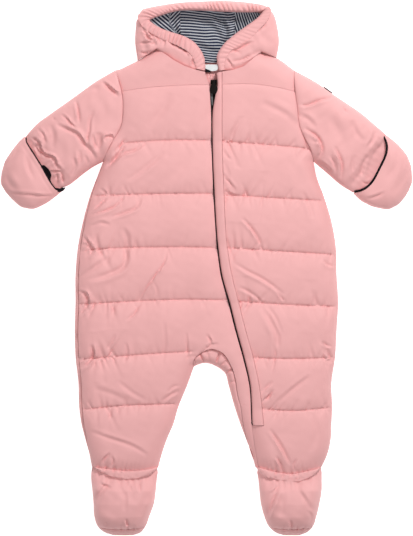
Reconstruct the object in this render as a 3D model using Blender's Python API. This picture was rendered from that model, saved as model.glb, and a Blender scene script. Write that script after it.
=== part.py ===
# A baby's quilted snowsuit, laid on its back on a flat surface.
# Sizes are in millimetres in the tables below, and become metres when a mesh is made.
# +X is the wearer's left, +Y runs from the feet to the hood, +Z is up from the surface.

import math
from collections import namedtuple

import bmesh
import bpy
import numpy as np

MM = 0.001
SEAM_GAP = 0.3  # between two pieces that are sewn together
SEAM_HEIGHT = 15.0  # of the plane where the back and the front lie on each other
EDGE = 2.2  # half of a padded piece's thickness at its turned edge
BODY_HEIGHT = 33.0  # top of the puffs
YOKE_HEIGHT = 30.0
STITCH_DROP = 5.5  # from the top of a puff to its quilting line
ROUND_ABOVE = 30.0  # how far in from the outline the front is rounded
ROUND_BELOW = 20.0  # and the back
ZIP_DIP = 5.0
ZIP_DIP_REACH = 9.0
FLAP_RISE = 1.2
SHELL = 3.0  # wall of the hood
LINING = 2.0
RIM_HEIGHT = 29.0
HOOD_EDGE = 13.0  # height of the hood's side seam
MITT_WALL = 5.0

COLOURS = {
    "shell": ((0.93, 0.47, 0.46), 0.75),
    "lining": ((0.25, 0.25, 0.32), 0.85),
    "binding": ((0.01, 0.01, 0.015), 0.6),
    "zip": ((0.015, 0.013, 0.015), 0.45),
    "label": ((0.8, 0.82, 0.83), 0.6),
}

# Plan outline of the body: the armholes above y = 142, the side edges below it.
Side = namedtuple("Side", "y left right strip")
OUTLINE = (
    Side(-265, -153, 154, 0.6),
    Side(-250, -156, 161, 0.6),
    Side(-228, -162, 166, 2.0),
    Side(-208, -167, 167, 4.0),
    Side(-187, -170, 168, 4.6),
    Side(-155, -171, 167, 4.6),
    Side(-118, -175, 172, 5.0),
    Side(-82, -176, 174, 5.0),
    Side(-46, -175, 176, 5.0),
    Side(-10, -175, 174, 5.0),
    Side(26, -172, 173, 5.0),
    Side(62, -165, 167, 4.0),
    Side(98, -155, 156, 3.0),
    Side(122, -146, 147, 1.5),
    Side(142, -138, 143, 0.6),
    Side(157, -131, 139, 0.6),
    Side(172, -123, 131, 0.6),
    Side(188, -114, 124, 0.6),
    Side(212, -111, 121, 0.6),
    Side(237, -113, 118, 0.6),
    Side(250, -117, 117, 0.6),
    Side(264, -122, 117, 0.6),
)
ARMPIT = 142

# Inner edges of the legs, and how far in the left leg's inner seam lies.
Inner = namedtuple("Inner", "y right_leg left_leg strip")
INNER_LEG = (
    Inner(-265, -64, 65, 0.6),
    Inner(-250, -60, 61, 0.8),
    Inner(-229, -53, 53, 1.0),
    Inner(-208, -44, 45, 3.0),
    Inner(-187, -38, 38, 5.0),
    Inner(-155, -25, 29, 8.0),
    Inner(-132, -17, 25, 11.0),
)

# Middle and half width of the zip's channel, and the outer edge of the flap beside it.
Zip = namedtuple("Zip", "y middle half flap")
ZIP_LINE = (
    Zip(-265, 69.5, 1.5, 81),
    Zip(-211, 61, 1.5, 76.5),
    Zip(-152, 57, 1.5, 69.5),
    Zip(-118, 49, 1.5, 62),
    Zip(-82, 39, 1.5, 52),
    Zip(-46, 30, 1.5, 43),
    Zip(-10, 20, 1.5, 34),
    Zip(26, 15, 1.5, 28),
    Zip(98, 10, 1.5, 23.5),
    Zip(170, 7.3, 1.5, 21),
    Zip(212, 7.3, 1.5, 21),
    Zip(226, 8, 3.0, 21),
    Zip(240, 9.2, 5.4, 21),
)
ZIP_END = -209

# Heights of the quilting lines, from the hem to the last line under the yoke.
STITCH_LINES = (-265, -190, -118, -46, 26, 98, 170)
YOKE_SEAM_SIDE = 235
YOKE_SEAM_RISE = 9
PUFF = ((0.2, 0.8), (0.5, 1.0), (0.8, 0.8))  # way up a puff, share of its height
YOKE_PUFFS = (0.5, 1.0, 0.7)
YOKE_DROP = 2.5
YOKE_SEAM_PUFF = 0.35
ROW_SHIFTS = {134.0: ARMPIT, 155.6: 157.0}  # rows moved to meet the armpit

# Columns of the body: 0 is the right edge, 1 the side seam, 7 to 9 the crotch, 10 the inner seam,
# 11 and 12 the zip, 13 the flap's outer edge and 18 the left edge.
COLUMNS = 19
RIGHT_SEAM, CROTCH_RIGHT, CROTCH_MIDDLE, CROTCH_LEFT, INNER_SEAM = 1, 7, 8, 9, 10
ZIP_RIGHT, ZIP_LEFT, FLAP_EDGE, LEFT_EDGE = 11, 12, 13, 18
TORSO_SHARES = (0, 0.05, 0.13, 0.29, 0.45, 0.60, 0.70, 0.79, 0.89, 0.945, 1)
LEG_SHARES = (0, 0.07, 0.2, 0.42, 0.66, 0.87, 1)
LEFT_SHARES = (0, 0.25, 0.5, 0.74, 0.9, 1)

# The crotch: the arch between the legs and the seam above it, where the back comes round.
CROTCH_ROW, CROTCH_SEAM_ROW = -132.4, -118.0
ARCH = {CROTCH_RIGHT: (-17, -131), CROTCH_MIDDLE: (0, -127), CROTCH_LEFT: (25, -141),
        INNER_SEAM: (36, -138)}
ARCH_SEAM = {CROTCH_RIGHT: (-18, -123), CROTCH_MIDDLE: (5, -108), CROTCH_LEFT: (25, -113),
             INNER_SEAM: (36, -116)}

# Top edges of the front and the back, from shoulder to shoulder, a point for each column.
Top = namedtuple("Top", "column x front back")
TOP_EDGE = (
    Top(0, -122, 263, 263),
    Top(1, -117, 265, 265),
    Top(2, -106, 270, 270),
    Top(3, -92, 276.5, 276.5),
    Top(4, -80, 284, 284),
    Top(5, -66, 292, 292),
    Top(6, -55, 285, 285),
    Top(7, -44, 277, 277.5),
    Top(8, -30, 269.5, 274),
    Top(9, -22, 266.5, 273),
    Top(10, -15, 264, 272.5),
    Top(11, -2, 261, 272),
    Top(12, 13, 259.5, 272),
    Top(13, 21, 261.5, 272),
    Top(14, 36, 264, 273),
    Top(15, 49, 268.5, 276),
    Top(16, 73, 288, 288),
    Top(17, 93.5, 280.5, 280.5),
    Top(18, 117, 264, 264),
)

# Sleeves: a section is a line from its upper to its lower edge, bowed towards the hand.
Section = namedtuple("Section", "upper_x upper_y lower_x lower_y bow low high")
SLEEVES = {
    "right": (
        Section(-150, 247.5, -148, 136.5, 0, 0, 33),
        Section(-166, 236, -154, 133, 0, 0, 32),
        Section(-184, 223, -161, 128, 0, 0, 27),
        Section(-206, 207.5, -173, 118.5, 0, 0, 30),
        Section(-228, 191, -183, 111, 0, 1, 28),
        Section(-236.5, 179, -193, 108, 0, 5.5, 21),
    ),
    "left": (
        Section(150, 245.5, 152, 134, 1, 0, 33),
        Section(166, 234, 158, 129, 2, 0, 30),
        Section(184, 222, 167, 121, 4, 0, 32),
        Section(206, 207, 181, 109.5, 7, 0, 31),
        Section(228, 189.5, 192, 101, 10, 1, 28),
        Section(235, 178.5, 199.5, 101, 12, 5.5, 21),
    ),
}
ARMHOLE_HEIGHT = 31.5
SLIT = 0.6  # half the height of the hollow in an empty sleeve
SLIT_INSET = 7.0  # from the sleeve's edge to the hollow's
TUCKED = {"share": 0.35, "keep": 0.1, "low": 7.5, "high": 18.0, "hollow": 13.0}  # the end in the mitt

MITTS = {
    "right": (
        Section(-242, 173, -196, 101, 0, 0, 27.5),
        Section(-256, 157, -214, 87, 2, 0, 29),
        Section(-267, 143, -231, 79, 2, 0, 28),
        Section(-273.5, 128, -248, 81, 2, 0, 25),
        Section(-274.8, 117, -260, 92, 1, 1, 22),
        Section(-274, 111, -268, 101, 0, 5, 20),
    ),
    "left": (
        Section(241, 177, 199, 97, 12, 0, 27.5),
        Section(256, 165, 222, 81.5, 7, 0, 29),
        Section(268, 151, 243, 77.5, 3, 0, 28),
        Section(273.5, 136, 257, 85, 1, 0, 25),
        Section(274.8, 122, 266, 96, 0, 1, 22),
        Section(274.5, 114, 270.5, 104, 0, 5, 20),
    ),
}
MITT_SHARES = (0, 0.05, 0.18, 0.5, 0.82, 0.95, 1)
HOLLOW_SECTIONS = ((5.0, 22.5), (8.0, 19.0), (13.8, 16.2))  # low and high of the first three
BINDING = {"gap": 0.2, "width": 3.0, "lift": 0.4}

# Feet: the leg's hem lies over the upper, and the sole turns up at the toe.
Foot = namedtuple("Foot", "y right_out right_in left_in left_out high")
FEET = (
    Foot(-265, -153, -63, 65, 154, 21),
    Foot(-281, -154, -66, 69, 154, 26),
    Foot(-296, -152.5, -67.5, 70.5, 154, 37),
    Foot(-314, -151, -70, 72.5, 151, 39),
    Foot(-331, -150, -76, 77, 147, 38),
    Foot(-346, -144.5, -82, 84, 141.5, 33),
    Foot(-353, -136, -88, 92, 134, 26),
    Foot(-357, -124, -98, 103, 124, 19),
)
TOE_SEAM_ROW = 2  # counted from the toe
FOOT_SHARES = (0, 0.06, 0.2, 0.5, 0.8, 0.94, 1)
HEM_SHARES = (0, 0.06, 0.13, 0.2, 0.275, 0.35, 0.425, 0.5, 0.575, 0.65, 0.725, 0.8, 0.87, 0.94, 1)
HEM_SAG = 13.0  # the hem's edge hangs this much lower in the middle
HEM_DEPTH = 7.0
HEM_WALL = 6.0
HEM_GATHER = 0.9
HEM_LIFT = 0.7  # above the upper, whose faces are coarser

# The hood, from the neck's right side over the top to the neck's left: the opening's edge, the
# casing's seam, and the outer edge where a side panel lies outside the casing.
Hood = namedtuple("Hood", "rim_x rim_y seam_x seam_y out_x out_y")
HOOD = (
    Hood(-2, 262.5, -13, 265, -15, 264),
    Hood(-3.5, 281, -17, 277, -30, 269.5),
    Hood(-14, 298, -24, 287, -44, 277),
    Hood(-29, 308, -39, 296, -55, 285),
    Hood(-47, 314, -56, 303, -66, 292),
    Hood(-58, 318, -68, 309, -80, 284),
    Hood(-66, 322, -78, 315, -92, 276.5),
    Hood(-72, 326, -86, 322, -95.5, 303),
    Hood(-76, 330, -90, 332, -93.5, 331),
    Hood(-66, 335, -80, 346, None, None),
    Hood(-38, 343, -40, 354, None, None),
    Hood(-8, 343.5, -8, 356, None, None),
    Hood(21, 342, 21, 357, None, None),
    Hood(50, 341, 52, 355, None, None),
    Hood(70, 341.5, 76, 351, None, None),
    Hood(76, 343, 86, 343, 89, 340),
    Hood(68, 333, 80, 328, 95, 320),
    Hood(56, 324, 68, 315, 97, 300),
    Hood(42, 314, 56, 303, 93.5, 280.5),
    Hood(32, 306, 44, 296, 73, 288),
    Hood(24, 299, 34, 290, 61, 278.25),
    Hood(15.5, 286, 26, 279, 49, 268.5),
    Hood(14, 276, 24, 271, 36, 264),
    Hood(16.7, 262.5, 24, 263.5, 26, 263),
)
HOOD_SIDES = {"right": (0, 9), "left": (15, 24)}  # the stations that have a side panel

# Outer back of the hood: a column for each point of the body's top edge, up to the crown.
Crown = namedtuple("Crown", "column top_x top_y middle_x")
CROWN = (
    Crown(3, -84, 344, -95.5),
    Crown(4, -72, 349, -85),
    Crown(5, -58, 352, -64),
    Crown(7, -38, 354.5, -44),
    Crown(8, -20, 356, -26),
    Crown(11, 0, 357, -2),
    Crown(13, 24, 357, 20),
    Crown(15, 46, 355.5, 47),
    Crown(16, 74, 351, 75),
    Crown(17, 87, 343, 97),
)
CROWN_MIDDLE = 312.0
LINING_FLOOR = 4.5

# Striped lining: bottom and top edge of each panel, and its height above the surface.
Lining = namedtuple("Lining", "x bottom top height")
LINING_PANELS = {
    "lining_right": (Lining(-84, 302, 332, 17), Lining(-66, 297, 339, 12), Lining(-50, 290, 343, 8),
                     Lining(-35, 281, 344, LINING_FLOOR)),
    "lining_centre": (Lining(-35, 281, 344, LINING_FLOOR), Lining(-12, 275, 344.5, LINING_FLOOR),
                      Lining(12, 275, 344.5, LINING_FLOOR), Lining(38, 277, 344, LINING_FLOOR)),
    "lining_left": (Lining(38, 277, 344, LINING_FLOOR), Lining(54, 286, 343, 8), Lining(70, 292, 340, 12),
                    Lining(86, 298, 332, 17)),
}

ZIP_DEPTH = 5.0  # of the zip's strip, under the fronts beside it
ZIP_TOP = 20.5  # its height from SLIDER_FROM upwards
SLIDER_FROM = 226
SLIDER = {"x": 9.6, "y": 245.0, "width": 8.0, "length": 11.0, "base": 20.8, "top": 25.8, "lug": 1.2,
          "lug_length": 3.0, "lug_rise": 1.6, "taper": 0.55}
PIN = {"y": 248.3, "z": 30.0, "radius": 0.7}
PULL = {"eye": 2.0, "bore": 1.0, "narrow": 1.9, "wide": 5.4, "length": 17.0, "thick": 1.6, "gap": 0.4}
ChinGuard = namedtuple("ChinGuard", "y right left high pleated")
CHIN_GUARD = (
    ChinGuard(243.0, 3.6, 5.3, 23.0, 0.0),
    ChinGuard(246.5, 3.0, 5.3, 24.0, 0.1),
    ChinGuard(250.9, 2.2, 5.3, 25.0, 0.3),
    ChinGuard(252.4, 1.8, 8.8, 25.5, 0.6),
    ChinGuard(258.4, -0.4, 12.0, 26.0, 1.0),
)
PLEAT = 1.2
NECK_LABEL = {"left": -1.5, "right": 15.5, "top": 271.0, "low": 262.2, "high": 267.5, "wall": 0.8}
NECK_TAPE = {"left": -1.5, "right": 6.0, "bottom": 262.2, "wall": 0.6}
SLEEVE_TAB = {"start": (155.0, 243.2), "end": (167.5, 234.0), "reach": 3.0, "wall": 1.0}


def clear_scene():
    for item in list(bpy.data.objects):
        bpy.data.objects.remove(item, do_unlink=True)


def material(slot):
    found = bpy.data.materials.get(slot)
    if found:
        return found
    colour, rough = COLOURS[slot]
    made = bpy.data.materials.new(slot)
    made.use_nodes = True
    shader = made.node_tree.nodes["Principled BSDF"]
    shader.inputs["Base Color"].default_value = (*colour, 1.0)
    shader.inputs["Roughness"].default_value = rough
    shader.inputs["Metallic"].default_value = 0.0
    return made


def add_object(name, mesh_data, slot, collection):
    mesh_data.materials.append(material(slot))
    made = bpy.data.objects.new(name, mesh_data)
    collection.objects.link(made)
    return made


def solid(name, corners, faces, slot, collection):
    """A closed mesh object from corner points in millimetres and faces of their indices."""
    shape = bmesh.new()
    points = [shape.verts.new([value * MM for value in corner]) for corner in corners]
    for face in faces:
        shape.faces.new([points[index] for index in face])
    bmesh.ops.recalc_face_normals(shape, faces=shape.faces)
    merge_flat_faces(shape)
    mesh_data = bpy.data.meshes.new(name)
    shape.to_mesh(mesh_data)
    shape.free()
    return add_object(name, mesh_data, slot, collection)


def merge_flat_faces(shape):
    """Joins the level faces that meet in one plane, which a quilted grid doesn't need."""
    level = {face for face in shape.faces if abs(face.normal.z) > 0.99999}
    edges = [edge for edge in shape.edges if len(edge.link_faces) == 2 and set(edge.link_faces) <= level]
    bmesh.ops.dissolve_limit(shape, angle_limit=0.001, verts=[], edges=edges)


def look_up(table, y, column):
    ordered = sorted(table, key=lambda row: row.y)
    return float(np.interp(y, [row.y for row in ordered], [getattr(row, column) for row in ordered]))


def rounding(distance, reach):
    """0 at an outline and 1 from reach inwards, along a quarter of a circle."""
    share = np.clip(np.asarray(distance, float) / reach, 0, 1)
    return np.sqrt(1 - (1 - share) ** 2)


def distance_to(points, line):
    """From each plan point to the nearest part of a line of plan points."""
    nearest = np.full(points.shape[:-1], np.inf)
    for start, end in zip(line[:-1], line[1:]):
        start, along = np.array(start, float), np.array(end, float) - np.array(start, float)
        share = np.clip(((points - start) @ along) / max(along @ along, 1e-9), 0, 1)
        gap = np.linalg.norm(points - (start + share[..., None] * along), axis=-1)
        nearest = np.minimum(nearest, gap)
    return nearest


def drawn_in(plan, cells, gap):
    """The plan points, with those on the edge of the cells moved inwards by gap."""
    push = {}
    rows, cols = cells.shape
    for j, i in zip(*np.nonzero(cells)):
        ring = ((j, i), (j, i + 1), (j + 1, i + 1), (j + 1, i))
        beyond = ((j - 1, i), (j, i + 1), (j + 1, i), (j, i - 1))
        turn = np.cross(plan[ring[1]] - plan[ring[0]], plan[ring[3]] - plan[ring[0]])
        for side, (row, col) in enumerate(beyond):
            if 0 <= row < rows and 0 <= col < cols and cells[row, col]:
                continue
            start, end = ring[side], ring[(side + 1) % 4]
            along = (plan[end] - plan[start]) / (np.linalg.norm(plan[end] - plan[start]) + 1e-9)
            inward = np.array((-along[1], along[0])) * (1 if turn > 0 else -1)
            push.setdefault(start, []).append(inward)
            push.setdefault(end, []).append(inward)
    moved = plan.copy()
    for corner, ways in push.items():
        way = np.sum(ways, axis=0)
        length = np.linalg.norm(way)
        if length > 1e-6:
            moved[corner] += way / length * gap / max(length / len(ways), 0.5)
    return moved


def panel(name, plan, top, base, slot, collection, cells=None, turned_up=None, high=None):
    """A padded piece between two height grids over a plan grid. The cells that are turned up
    reach high instead of top, with upright walls where they end."""
    rows, cols = plan.shape[0] - 1, plan.shape[1] - 1
    cells = np.ones((rows, cols), bool) if cells is None else cells
    turned_up = np.zeros((rows, cols), bool) if turned_up is None else turned_up
    plan = drawn_in(plan, cells, SEAM_GAP / 2)
    corners, index, levels, faces = [], {}, {}, []

    def corner(where, height):
        key = (where, round(float(height), 4))
        if key not in index:
            index[key] = len(corners)
            corners.append((plan[where][0], plan[where][1], float(height)))
        return index[key]

    def cell_top(cell, where):
        return high[where] if turned_up[cell] else top[where]

    def ring_of(cell):
        j, i = cell
        return ((j, i), (j, i + 1), (j + 1, i + 1), (j + 1, i))

    used = [(int(j), int(i)) for j, i in zip(*np.nonzero(cells))]
    for cell in used:
        for where in ring_of(cell):
            levels.setdefault(where, set()).update(
                (round(float(base[where]), 4), round(float(cell_top(cell, where)), 4))
            )
    for cell in used:
        ring = ring_of(cell)
        faces.append([corner(where, cell_top(cell, where)) for where in ring])
        faces.append([corner(where, base[where]) for where in reversed(ring)])
        j, i = cell
        for side, beyond in enumerate(((j - 1, i), (j, i + 1), (j + 1, i), (j, i - 1))):
            start, end = ring[side], ring[(side + 1) % 4]
            inside = 0 <= beyond[0] < rows and 0 <= beyond[1] < cols and cells[beyond]
            if inside and not (turned_up[cell] and not turned_up[beyond]):
                continue
            low = (lambda where: top[where]) if inside else (lambda where: base[where])
            wall = []
            for where, upward in ((end, True), (start, False)):
                floor, roof = low(where), cell_top(cell, where)
                steps = [z for z in sorted(levels[where]) if floor - 1e-3 < z < roof + 1e-3]
                wall += [corner(where, z) for z in (steps if upward else reversed(steps))]
            if len(set(wall)) > 2:
                faces.append(wall)
    return solid(name, corners, faces, slot, collection)


def strip_mesh(rings, closed_round=True):
    """Quads between each ring of indices and the next."""
    faces = []
    for first, second in zip(rings[:-1], rings[1:]):
        count = len(first)
        for k in range(count if closed_round else count - 1):
            faces.append([first[k], first[(k + 1) % count], second[(k + 1) % count], second[k]])
    return faces


def tube(name, outer, inner, open_end, slot, collection):
    """A sleeve or a pouch: outer rings, and inner rings that stop short where it is closed."""
    corners = [tuple(point) for ring in (*outer, *inner) for point in ring]
    count = len(outer[0])
    rings = [list(range(start, start + count)) for start in range(0, len(corners), count)]
    outside, inside = rings[: len(outer)], rings[len(outer):]
    faces = strip_mesh(outside) + [face[::-1] for face in strip_mesh(inside)]
    faces += strip_mesh([inside[0], outside[0]])
    if open_end:
        faces += strip_mesh([outside[-1], inside[-1]])
    else:
        faces += [outside[-1], inside[-1][::-1]]
    return solid(name, corners, faces, slot, collection)


def body_rows():
    """The heights of the rows up to the last quilting line, each with its share of a puff."""
    rows = []
    for low, high in zip(STITCH_LINES[:-1], STITCH_LINES[1:]):
        rows.append((float(low), 0.0))
        rows += [(round(low + share * (high - low), 1), puff) for share, puff in PUFF]
    rows.append((float(STITCH_LINES[-1]), 0.0))
    return [(ROW_SHIFTS.get(y, y), puff) for y, puff in rows]


def row_x(y):
    """The x of each column at a height of the body."""
    x = np.zeros(COLUMNS)
    x[0], x[LEFT_EDGE] = look_up(OUTLINE, y, "left"), look_up(OUTLINE, y, "right")
    x[RIGHT_SEAM] = x[0] + look_up(OUTLINE, y, "strip")
    middle, half = look_up(ZIP_LINE, y, "middle"), look_up(ZIP_LINE, y, "half")
    x[ZIP_RIGHT], x[ZIP_LEFT] = middle - half, middle + half
    x[FLAP_EDGE] = look_up(ZIP_LINE, y, "flap")
    if y > CROTCH_ROW:
        x[1:12] = x[1] + np.array(TORSO_SHARES) * (x[ZIP_RIGHT] - x[1])
    else:
        x[CROTCH_RIGHT] = look_up(INNER_LEG, y, "right_leg")
        x[1:8] = x[1] + np.array(LEG_SHARES) * (x[CROTCH_RIGHT] - x[1])
        x[CROTCH_LEFT] = look_up(INNER_LEG, y, "left_leg")
        x[INNER_SEAM] = x[CROTCH_LEFT] + look_up(INNER_LEG, y, "strip")
        x[CROTCH_MIDDLE] = (x[CROTCH_RIGHT] + x[CROTCH_LEFT]) / 2
    x[FLAP_EDGE:] = x[FLAP_EDGE] + np.array(LEFT_SHARES) * (x[LEFT_EDGE] - x[FLAP_EDGE])
    return x


def body_plan():
    """Plan grid of the whole body, and each row's share of a puff."""
    plan, puffs = [], []
    for y, puff in body_rows():
        row = np.stack([row_x(y), np.full(COLUMNS, y)], axis=1)
        moved = ARCH if y == CROTCH_ROW else ARCH_SEAM if y == CROTCH_SEAM_ROW else {}
        for column, place in moved.items():
            row[column] = place
        plan.append(row)
        puffs.append(puff)
    below = plan[-1]
    seam_x = row_x(YOKE_SEAM_SIDE)
    bend = 1 - ((seam_x - seam_x.mean()) / (np.ptp(seam_x) / 2)) ** 2
    seam = np.stack([seam_x, YOKE_SEAM_SIDE + YOKE_SEAM_RISE * bend], axis=1)
    for share, puff in (*PUFF, (1.0, YOKE_SEAM_PUFF)):
        row = below + share * (seam - below)
        row[:, 0] = [row_x(y)[column] for column, y in enumerate(row[:, 1])]
        plan.append(row)
        puffs.append(puff)
    return np.array(plan), puffs


def yoke_plan(seam, edge):
    """Rows from the yoke's seam to an edge of the neck and shoulders."""
    ends = np.array([(row.x, getattr(row, edge)) for row in TOP_EDGE])
    rows = []
    for share in (0.0, 0.5, 1.0):
        row = seam + share * (ends - seam)
        for column, side in ((0, "left"), (LEFT_EDGE, "right")):
            row[column, 0] = look_up(OUTLINE, row[column, 1], side)
        rows.append(row)
    return np.array(rows)


def free_edges(plan, front_top):
    """The edges of the body that nothing is sewn to: sides, inner legs, crotch and shoulders."""
    sides = [row for row in plan if row[0, 1] <= ARMPIT]
    legs = [row for row in plan if row[0, 1] <= CROTCH_ROW]
    crotch = [row[CROTCH_RIGHT] for row in legs] + [ARCH[CROTCH_MIDDLE]]
    crotch += [row[CROTCH_LEFT] for row in reversed(legs)]
    return (
        [row[0] for row in sides],
        [row[LEFT_EDGE] for row in sides],
        crotch,
        list(front_top[:6]),
        list(front_top[16:]),
    )


def near_zip(points):
    """How much lower the front lies beside the zip."""
    ends = (ZIP_END, 262)
    line = [(look_up(ZIP_LINE, y, "middle"), y) for y in np.linspace(*ends, 30)]
    return ZIP_DIP * np.exp(-distance_to(points, line) / ZIP_DIP_REACH)


def front_height(points, puffs, edges, height, drop):
    """Height of the front over a grid of plan points."""
    inwards = np.min([distance_to(points, edge) for edge in edges], axis=0)
    full = height - drop * (1 - np.array(puffs))[:, None]
    rise = (full - SEAM_HEIGHT - EDGE) * rounding(inwards, ROUND_ABOVE)
    return SEAM_HEIGHT + EDGE + rise - near_zip(points) * rounding(inwards, ROUND_ABOVE)


def back_height(points, edges):
    """Height of the back's underside: flat on the surface, rounded up to the edges."""
    inwards = np.min([distance_to(points, edge) for edge in edges], axis=0)
    return (SEAM_HEIGHT - EDGE) * (1 - rounding(inwards, ROUND_BELOW))


def cells_between(shape, first, last, rows=None):
    cells = np.zeros((shape[0] - 1, shape[1] - 1), bool)
    start, end = rows or (0, shape[0] - 1)
    cells[start:end, first:last] = True
    return cells


def add_body(collection):
    """Back, fronts, yokes, zip and flap. Returns the armholes' points."""
    lower, puffs = body_plan()
    front_upper, back_upper = yoke_plan(lower[-1], "front"), yoke_plan(lower[-1], "back")
    edges = free_edges(lower, front_upper[-1])
    heights = front_height(lower, puffs, edges, BODY_HEIGHT, STITCH_DROP)
    yoke_heights = front_height(front_upper, YOKE_PUFFS, edges, YOKE_HEIGHT, YOKE_DROP)
    flat = np.full(lower.shape[:2], SEAM_HEIGHT + SEAM_GAP / 2)
    y = [row[0, 1] for row in lower]
    crotch, crotch_seam = y.index(CROTCH_ROW), y.index(CROTCH_SEAM_ROW)
    armpit, zip_end = y.index(ARMPIT), next(k for k, value in enumerate(y) if value >= ZIP_END)

    gap = cells_between(lower.shape, CROTCH_RIGHT, CROTCH_LEFT, (0, crotch))
    round_side = cells_between(lower.shape, 0, RIGHT_SEAM, (0, armpit))
    crescent = cells_between(lower.shape, CROTCH_RIGHT, INNER_SEAM, (crotch, crotch_seam))
    crescent |= cells_between(lower.shape, CROTCH_LEFT, INNER_SEAM, (0, crotch))

    front_right = cells_between(lower.shape, 0, ZIP_RIGHT) & ~gap & ~round_side & ~crescent
    front_left = cells_between(lower.shape, FLAP_EDGE, LEFT_EDGE)
    front_left |= cells_between(lower.shape, ZIP_RIGHT, LEFT_EDGE, (0, zip_end))
    panel("front_right", lower, heights, flat, "shell", collection, front_right)
    panel("front_left", lower, heights, flat, "shell", collection, front_left)

    flat_upper = flat[: len(front_upper)]
    for side, first, last in (("right", 0, ZIP_RIGHT), ("left", FLAP_EDGE, LEFT_EDGE)):
        cells = cells_between(front_upper.shape, first, last)
        panel(f"yoke_{side}", front_upper, yoke_heights, flat_upper, "shell", collection, cells)

    back_plan = np.concatenate([lower, back_upper[1:]])
    back_top = np.full(back_plan.shape[:2], SEAM_HEIGHT - SEAM_GAP / 2)
    back_cells = np.ones((len(back_plan) - 1, COLUMNS - 1), bool)
    back_cells[: len(gap)] &= ~gap
    turned_up = np.zeros_like(back_cells)
    turned_up[: len(gap)] = round_side | crescent
    high = np.concatenate([heights, yoke_heights[1:]])
    panel("back", back_plan, back_top, back_height(back_plan, edges), "shell", collection,
          back_cells, turned_up, high)

    add_zip(lower, front_upper, heights, yoke_heights, zip_end, collection)
    armhole_rows = np.concatenate([lower[armpit:], front_upper[1:]])
    return {"right": armhole_rows[::-1, 0], "left": armhole_rows[::-1, LEFT_EDGE]}


def add_zip(lower, upper, heights, yoke_heights, zip_end, collection):
    """The zip's strip between the fronts, and the flap on its left, raised in the middle."""
    plan = np.concatenate([lower[zip_end:], upper[1:2]])
    top = np.concatenate([heights[zip_end:], yoke_heights[1:2]])
    strip = plan[:, ZIP_RIGHT : ZIP_LEFT + 1]
    strip_top = top[:, ZIP_RIGHT : ZIP_LEFT + 1] - ZIP_DEPTH
    strip_top[strip[..., 1] > SLIDER_FROM] = ZIP_TOP
    below = np.full(strip_top.shape, SEAM_HEIGHT + SEAM_GAP / 2)
    panel("zip", strip, strip_top, below, "zip", collection)

    plan = np.concatenate([lower[zip_end:], upper[1:]])
    top = np.concatenate([heights[zip_end:], yoke_heights[1:]])
    edges = plan[:, ZIP_LEFT : FLAP_EDGE + 1]
    middle = edges.mean(axis=1, keepdims=True)
    welt = np.concatenate([edges[:, :1], middle, edges[:, 1:]], axis=1)
    edge_top = top[:, ZIP_LEFT : FLAP_EDGE + 1]
    crest = edge_top.mean(axis=1, keepdims=True) + FLAP_RISE
    welt_top = np.concatenate([edge_top[:, :1], crest, edge_top[:, 1:]], axis=1)
    below = np.full(welt_top.shape, SEAM_HEIGHT + SEAM_GAP / 2)
    panel("zip_flap", welt, welt_top, below, "shell", collection)


def section_line(section, shares):
    """Plan points across a section, from its upper to its lower edge."""
    upper, lower = np.array(section[:2], float), np.array(section[2:4], float)
    across = lower - upper
    outward = np.array((-across[1], across[0])) / np.linalg.norm(across)
    outward *= 1 if outward[0] * upper[0] > 0 else -1
    shares = np.array(shares)
    return upper + shares[:, None] * across + (4 * section.bow * shares * (1 - shares))[:, None] * outward


def section_ring(line, low, high, inset=0.0):
    """A flattened ring over a line of plan points: along the top, and back underneath."""
    line = np.array(line, float)
    if inset:
        line[0] += (line[1] - line[0]) / np.linalg.norm(line[1] - line[0]) * inset
        line[-1] += (line[-2] - line[-1]) / np.linalg.norm(line[-2] - line[-1]) * inset
    steps = np.concatenate([[0], np.cumsum(np.linalg.norm(np.diff(line, axis=0), axis=1))])
    inwards = np.minimum(steps, steps[-1] - steps)
    edge = min(EDGE, (high - low) / 4)
    middle = min(max(SEAM_HEIGHT, low + edge), high - edge)
    top = middle + edge + (high - middle - edge) * rounding(inwards, ROUND_ABOVE)
    under = middle - edge - (middle - edge - low) * rounding(inwards, ROUND_BELOW)
    upper = [(x, y, z) for (x, y), z in zip(line, top)]
    lower = [(x, y, z) for (x, y), z in zip(line, under)]
    return upper + lower[::-1]


def add_sleeve(side, armhole, collection):
    steps = np.concatenate([[0], np.cumsum(np.linalg.norm(np.diff(armhole, axis=0), axis=1))])
    shares = steps / steps[-1]
    sections = SLEEVES[side]
    first = section_line(sections[0], shares)
    away = first - armhole
    start = armhole + away / np.linalg.norm(away, axis=1)[:, None] * SEAM_GAP
    mouth, second = MITTS[side][0], MITTS[side][1]
    tucked = section_line(mouth, shares) * (1 - TUCKED["share"])
    tucked = tucked + section_line(second, shares) * TUCKED["share"]
    kept = np.clip(shares, TUCKED["keep"], 1 - TUCKED["keep"])
    tucked = tucked + (kept - shares)[:, None] * (tucked[-1] - tucked[0])
    lines = [start] + [section_line(section, shares) for section in sections] + [tucked]
    heights = [(0.0, ARMHOLE_HEIGHT)] + [(section.low, section.high) for section in sections]
    heights.append((TUCKED["low"], TUCKED["high"]))
    outer = [section_ring(line, low, high) for line, (low, high) in zip(lines, heights)]
    inner = [section_ring(line, SEAM_HEIGHT - SLIT, SEAM_HEIGHT + SLIT, SLIT_INSET) for line in lines[:-1]]
    inner.append(section_ring(lines[-1], TUCKED["hollow"] - SLIT, TUCKED["hollow"] + SLIT, SLIT_INSET))
    tube(f"sleeve_{side}", outer, inner, True, "shell", collection)


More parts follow.
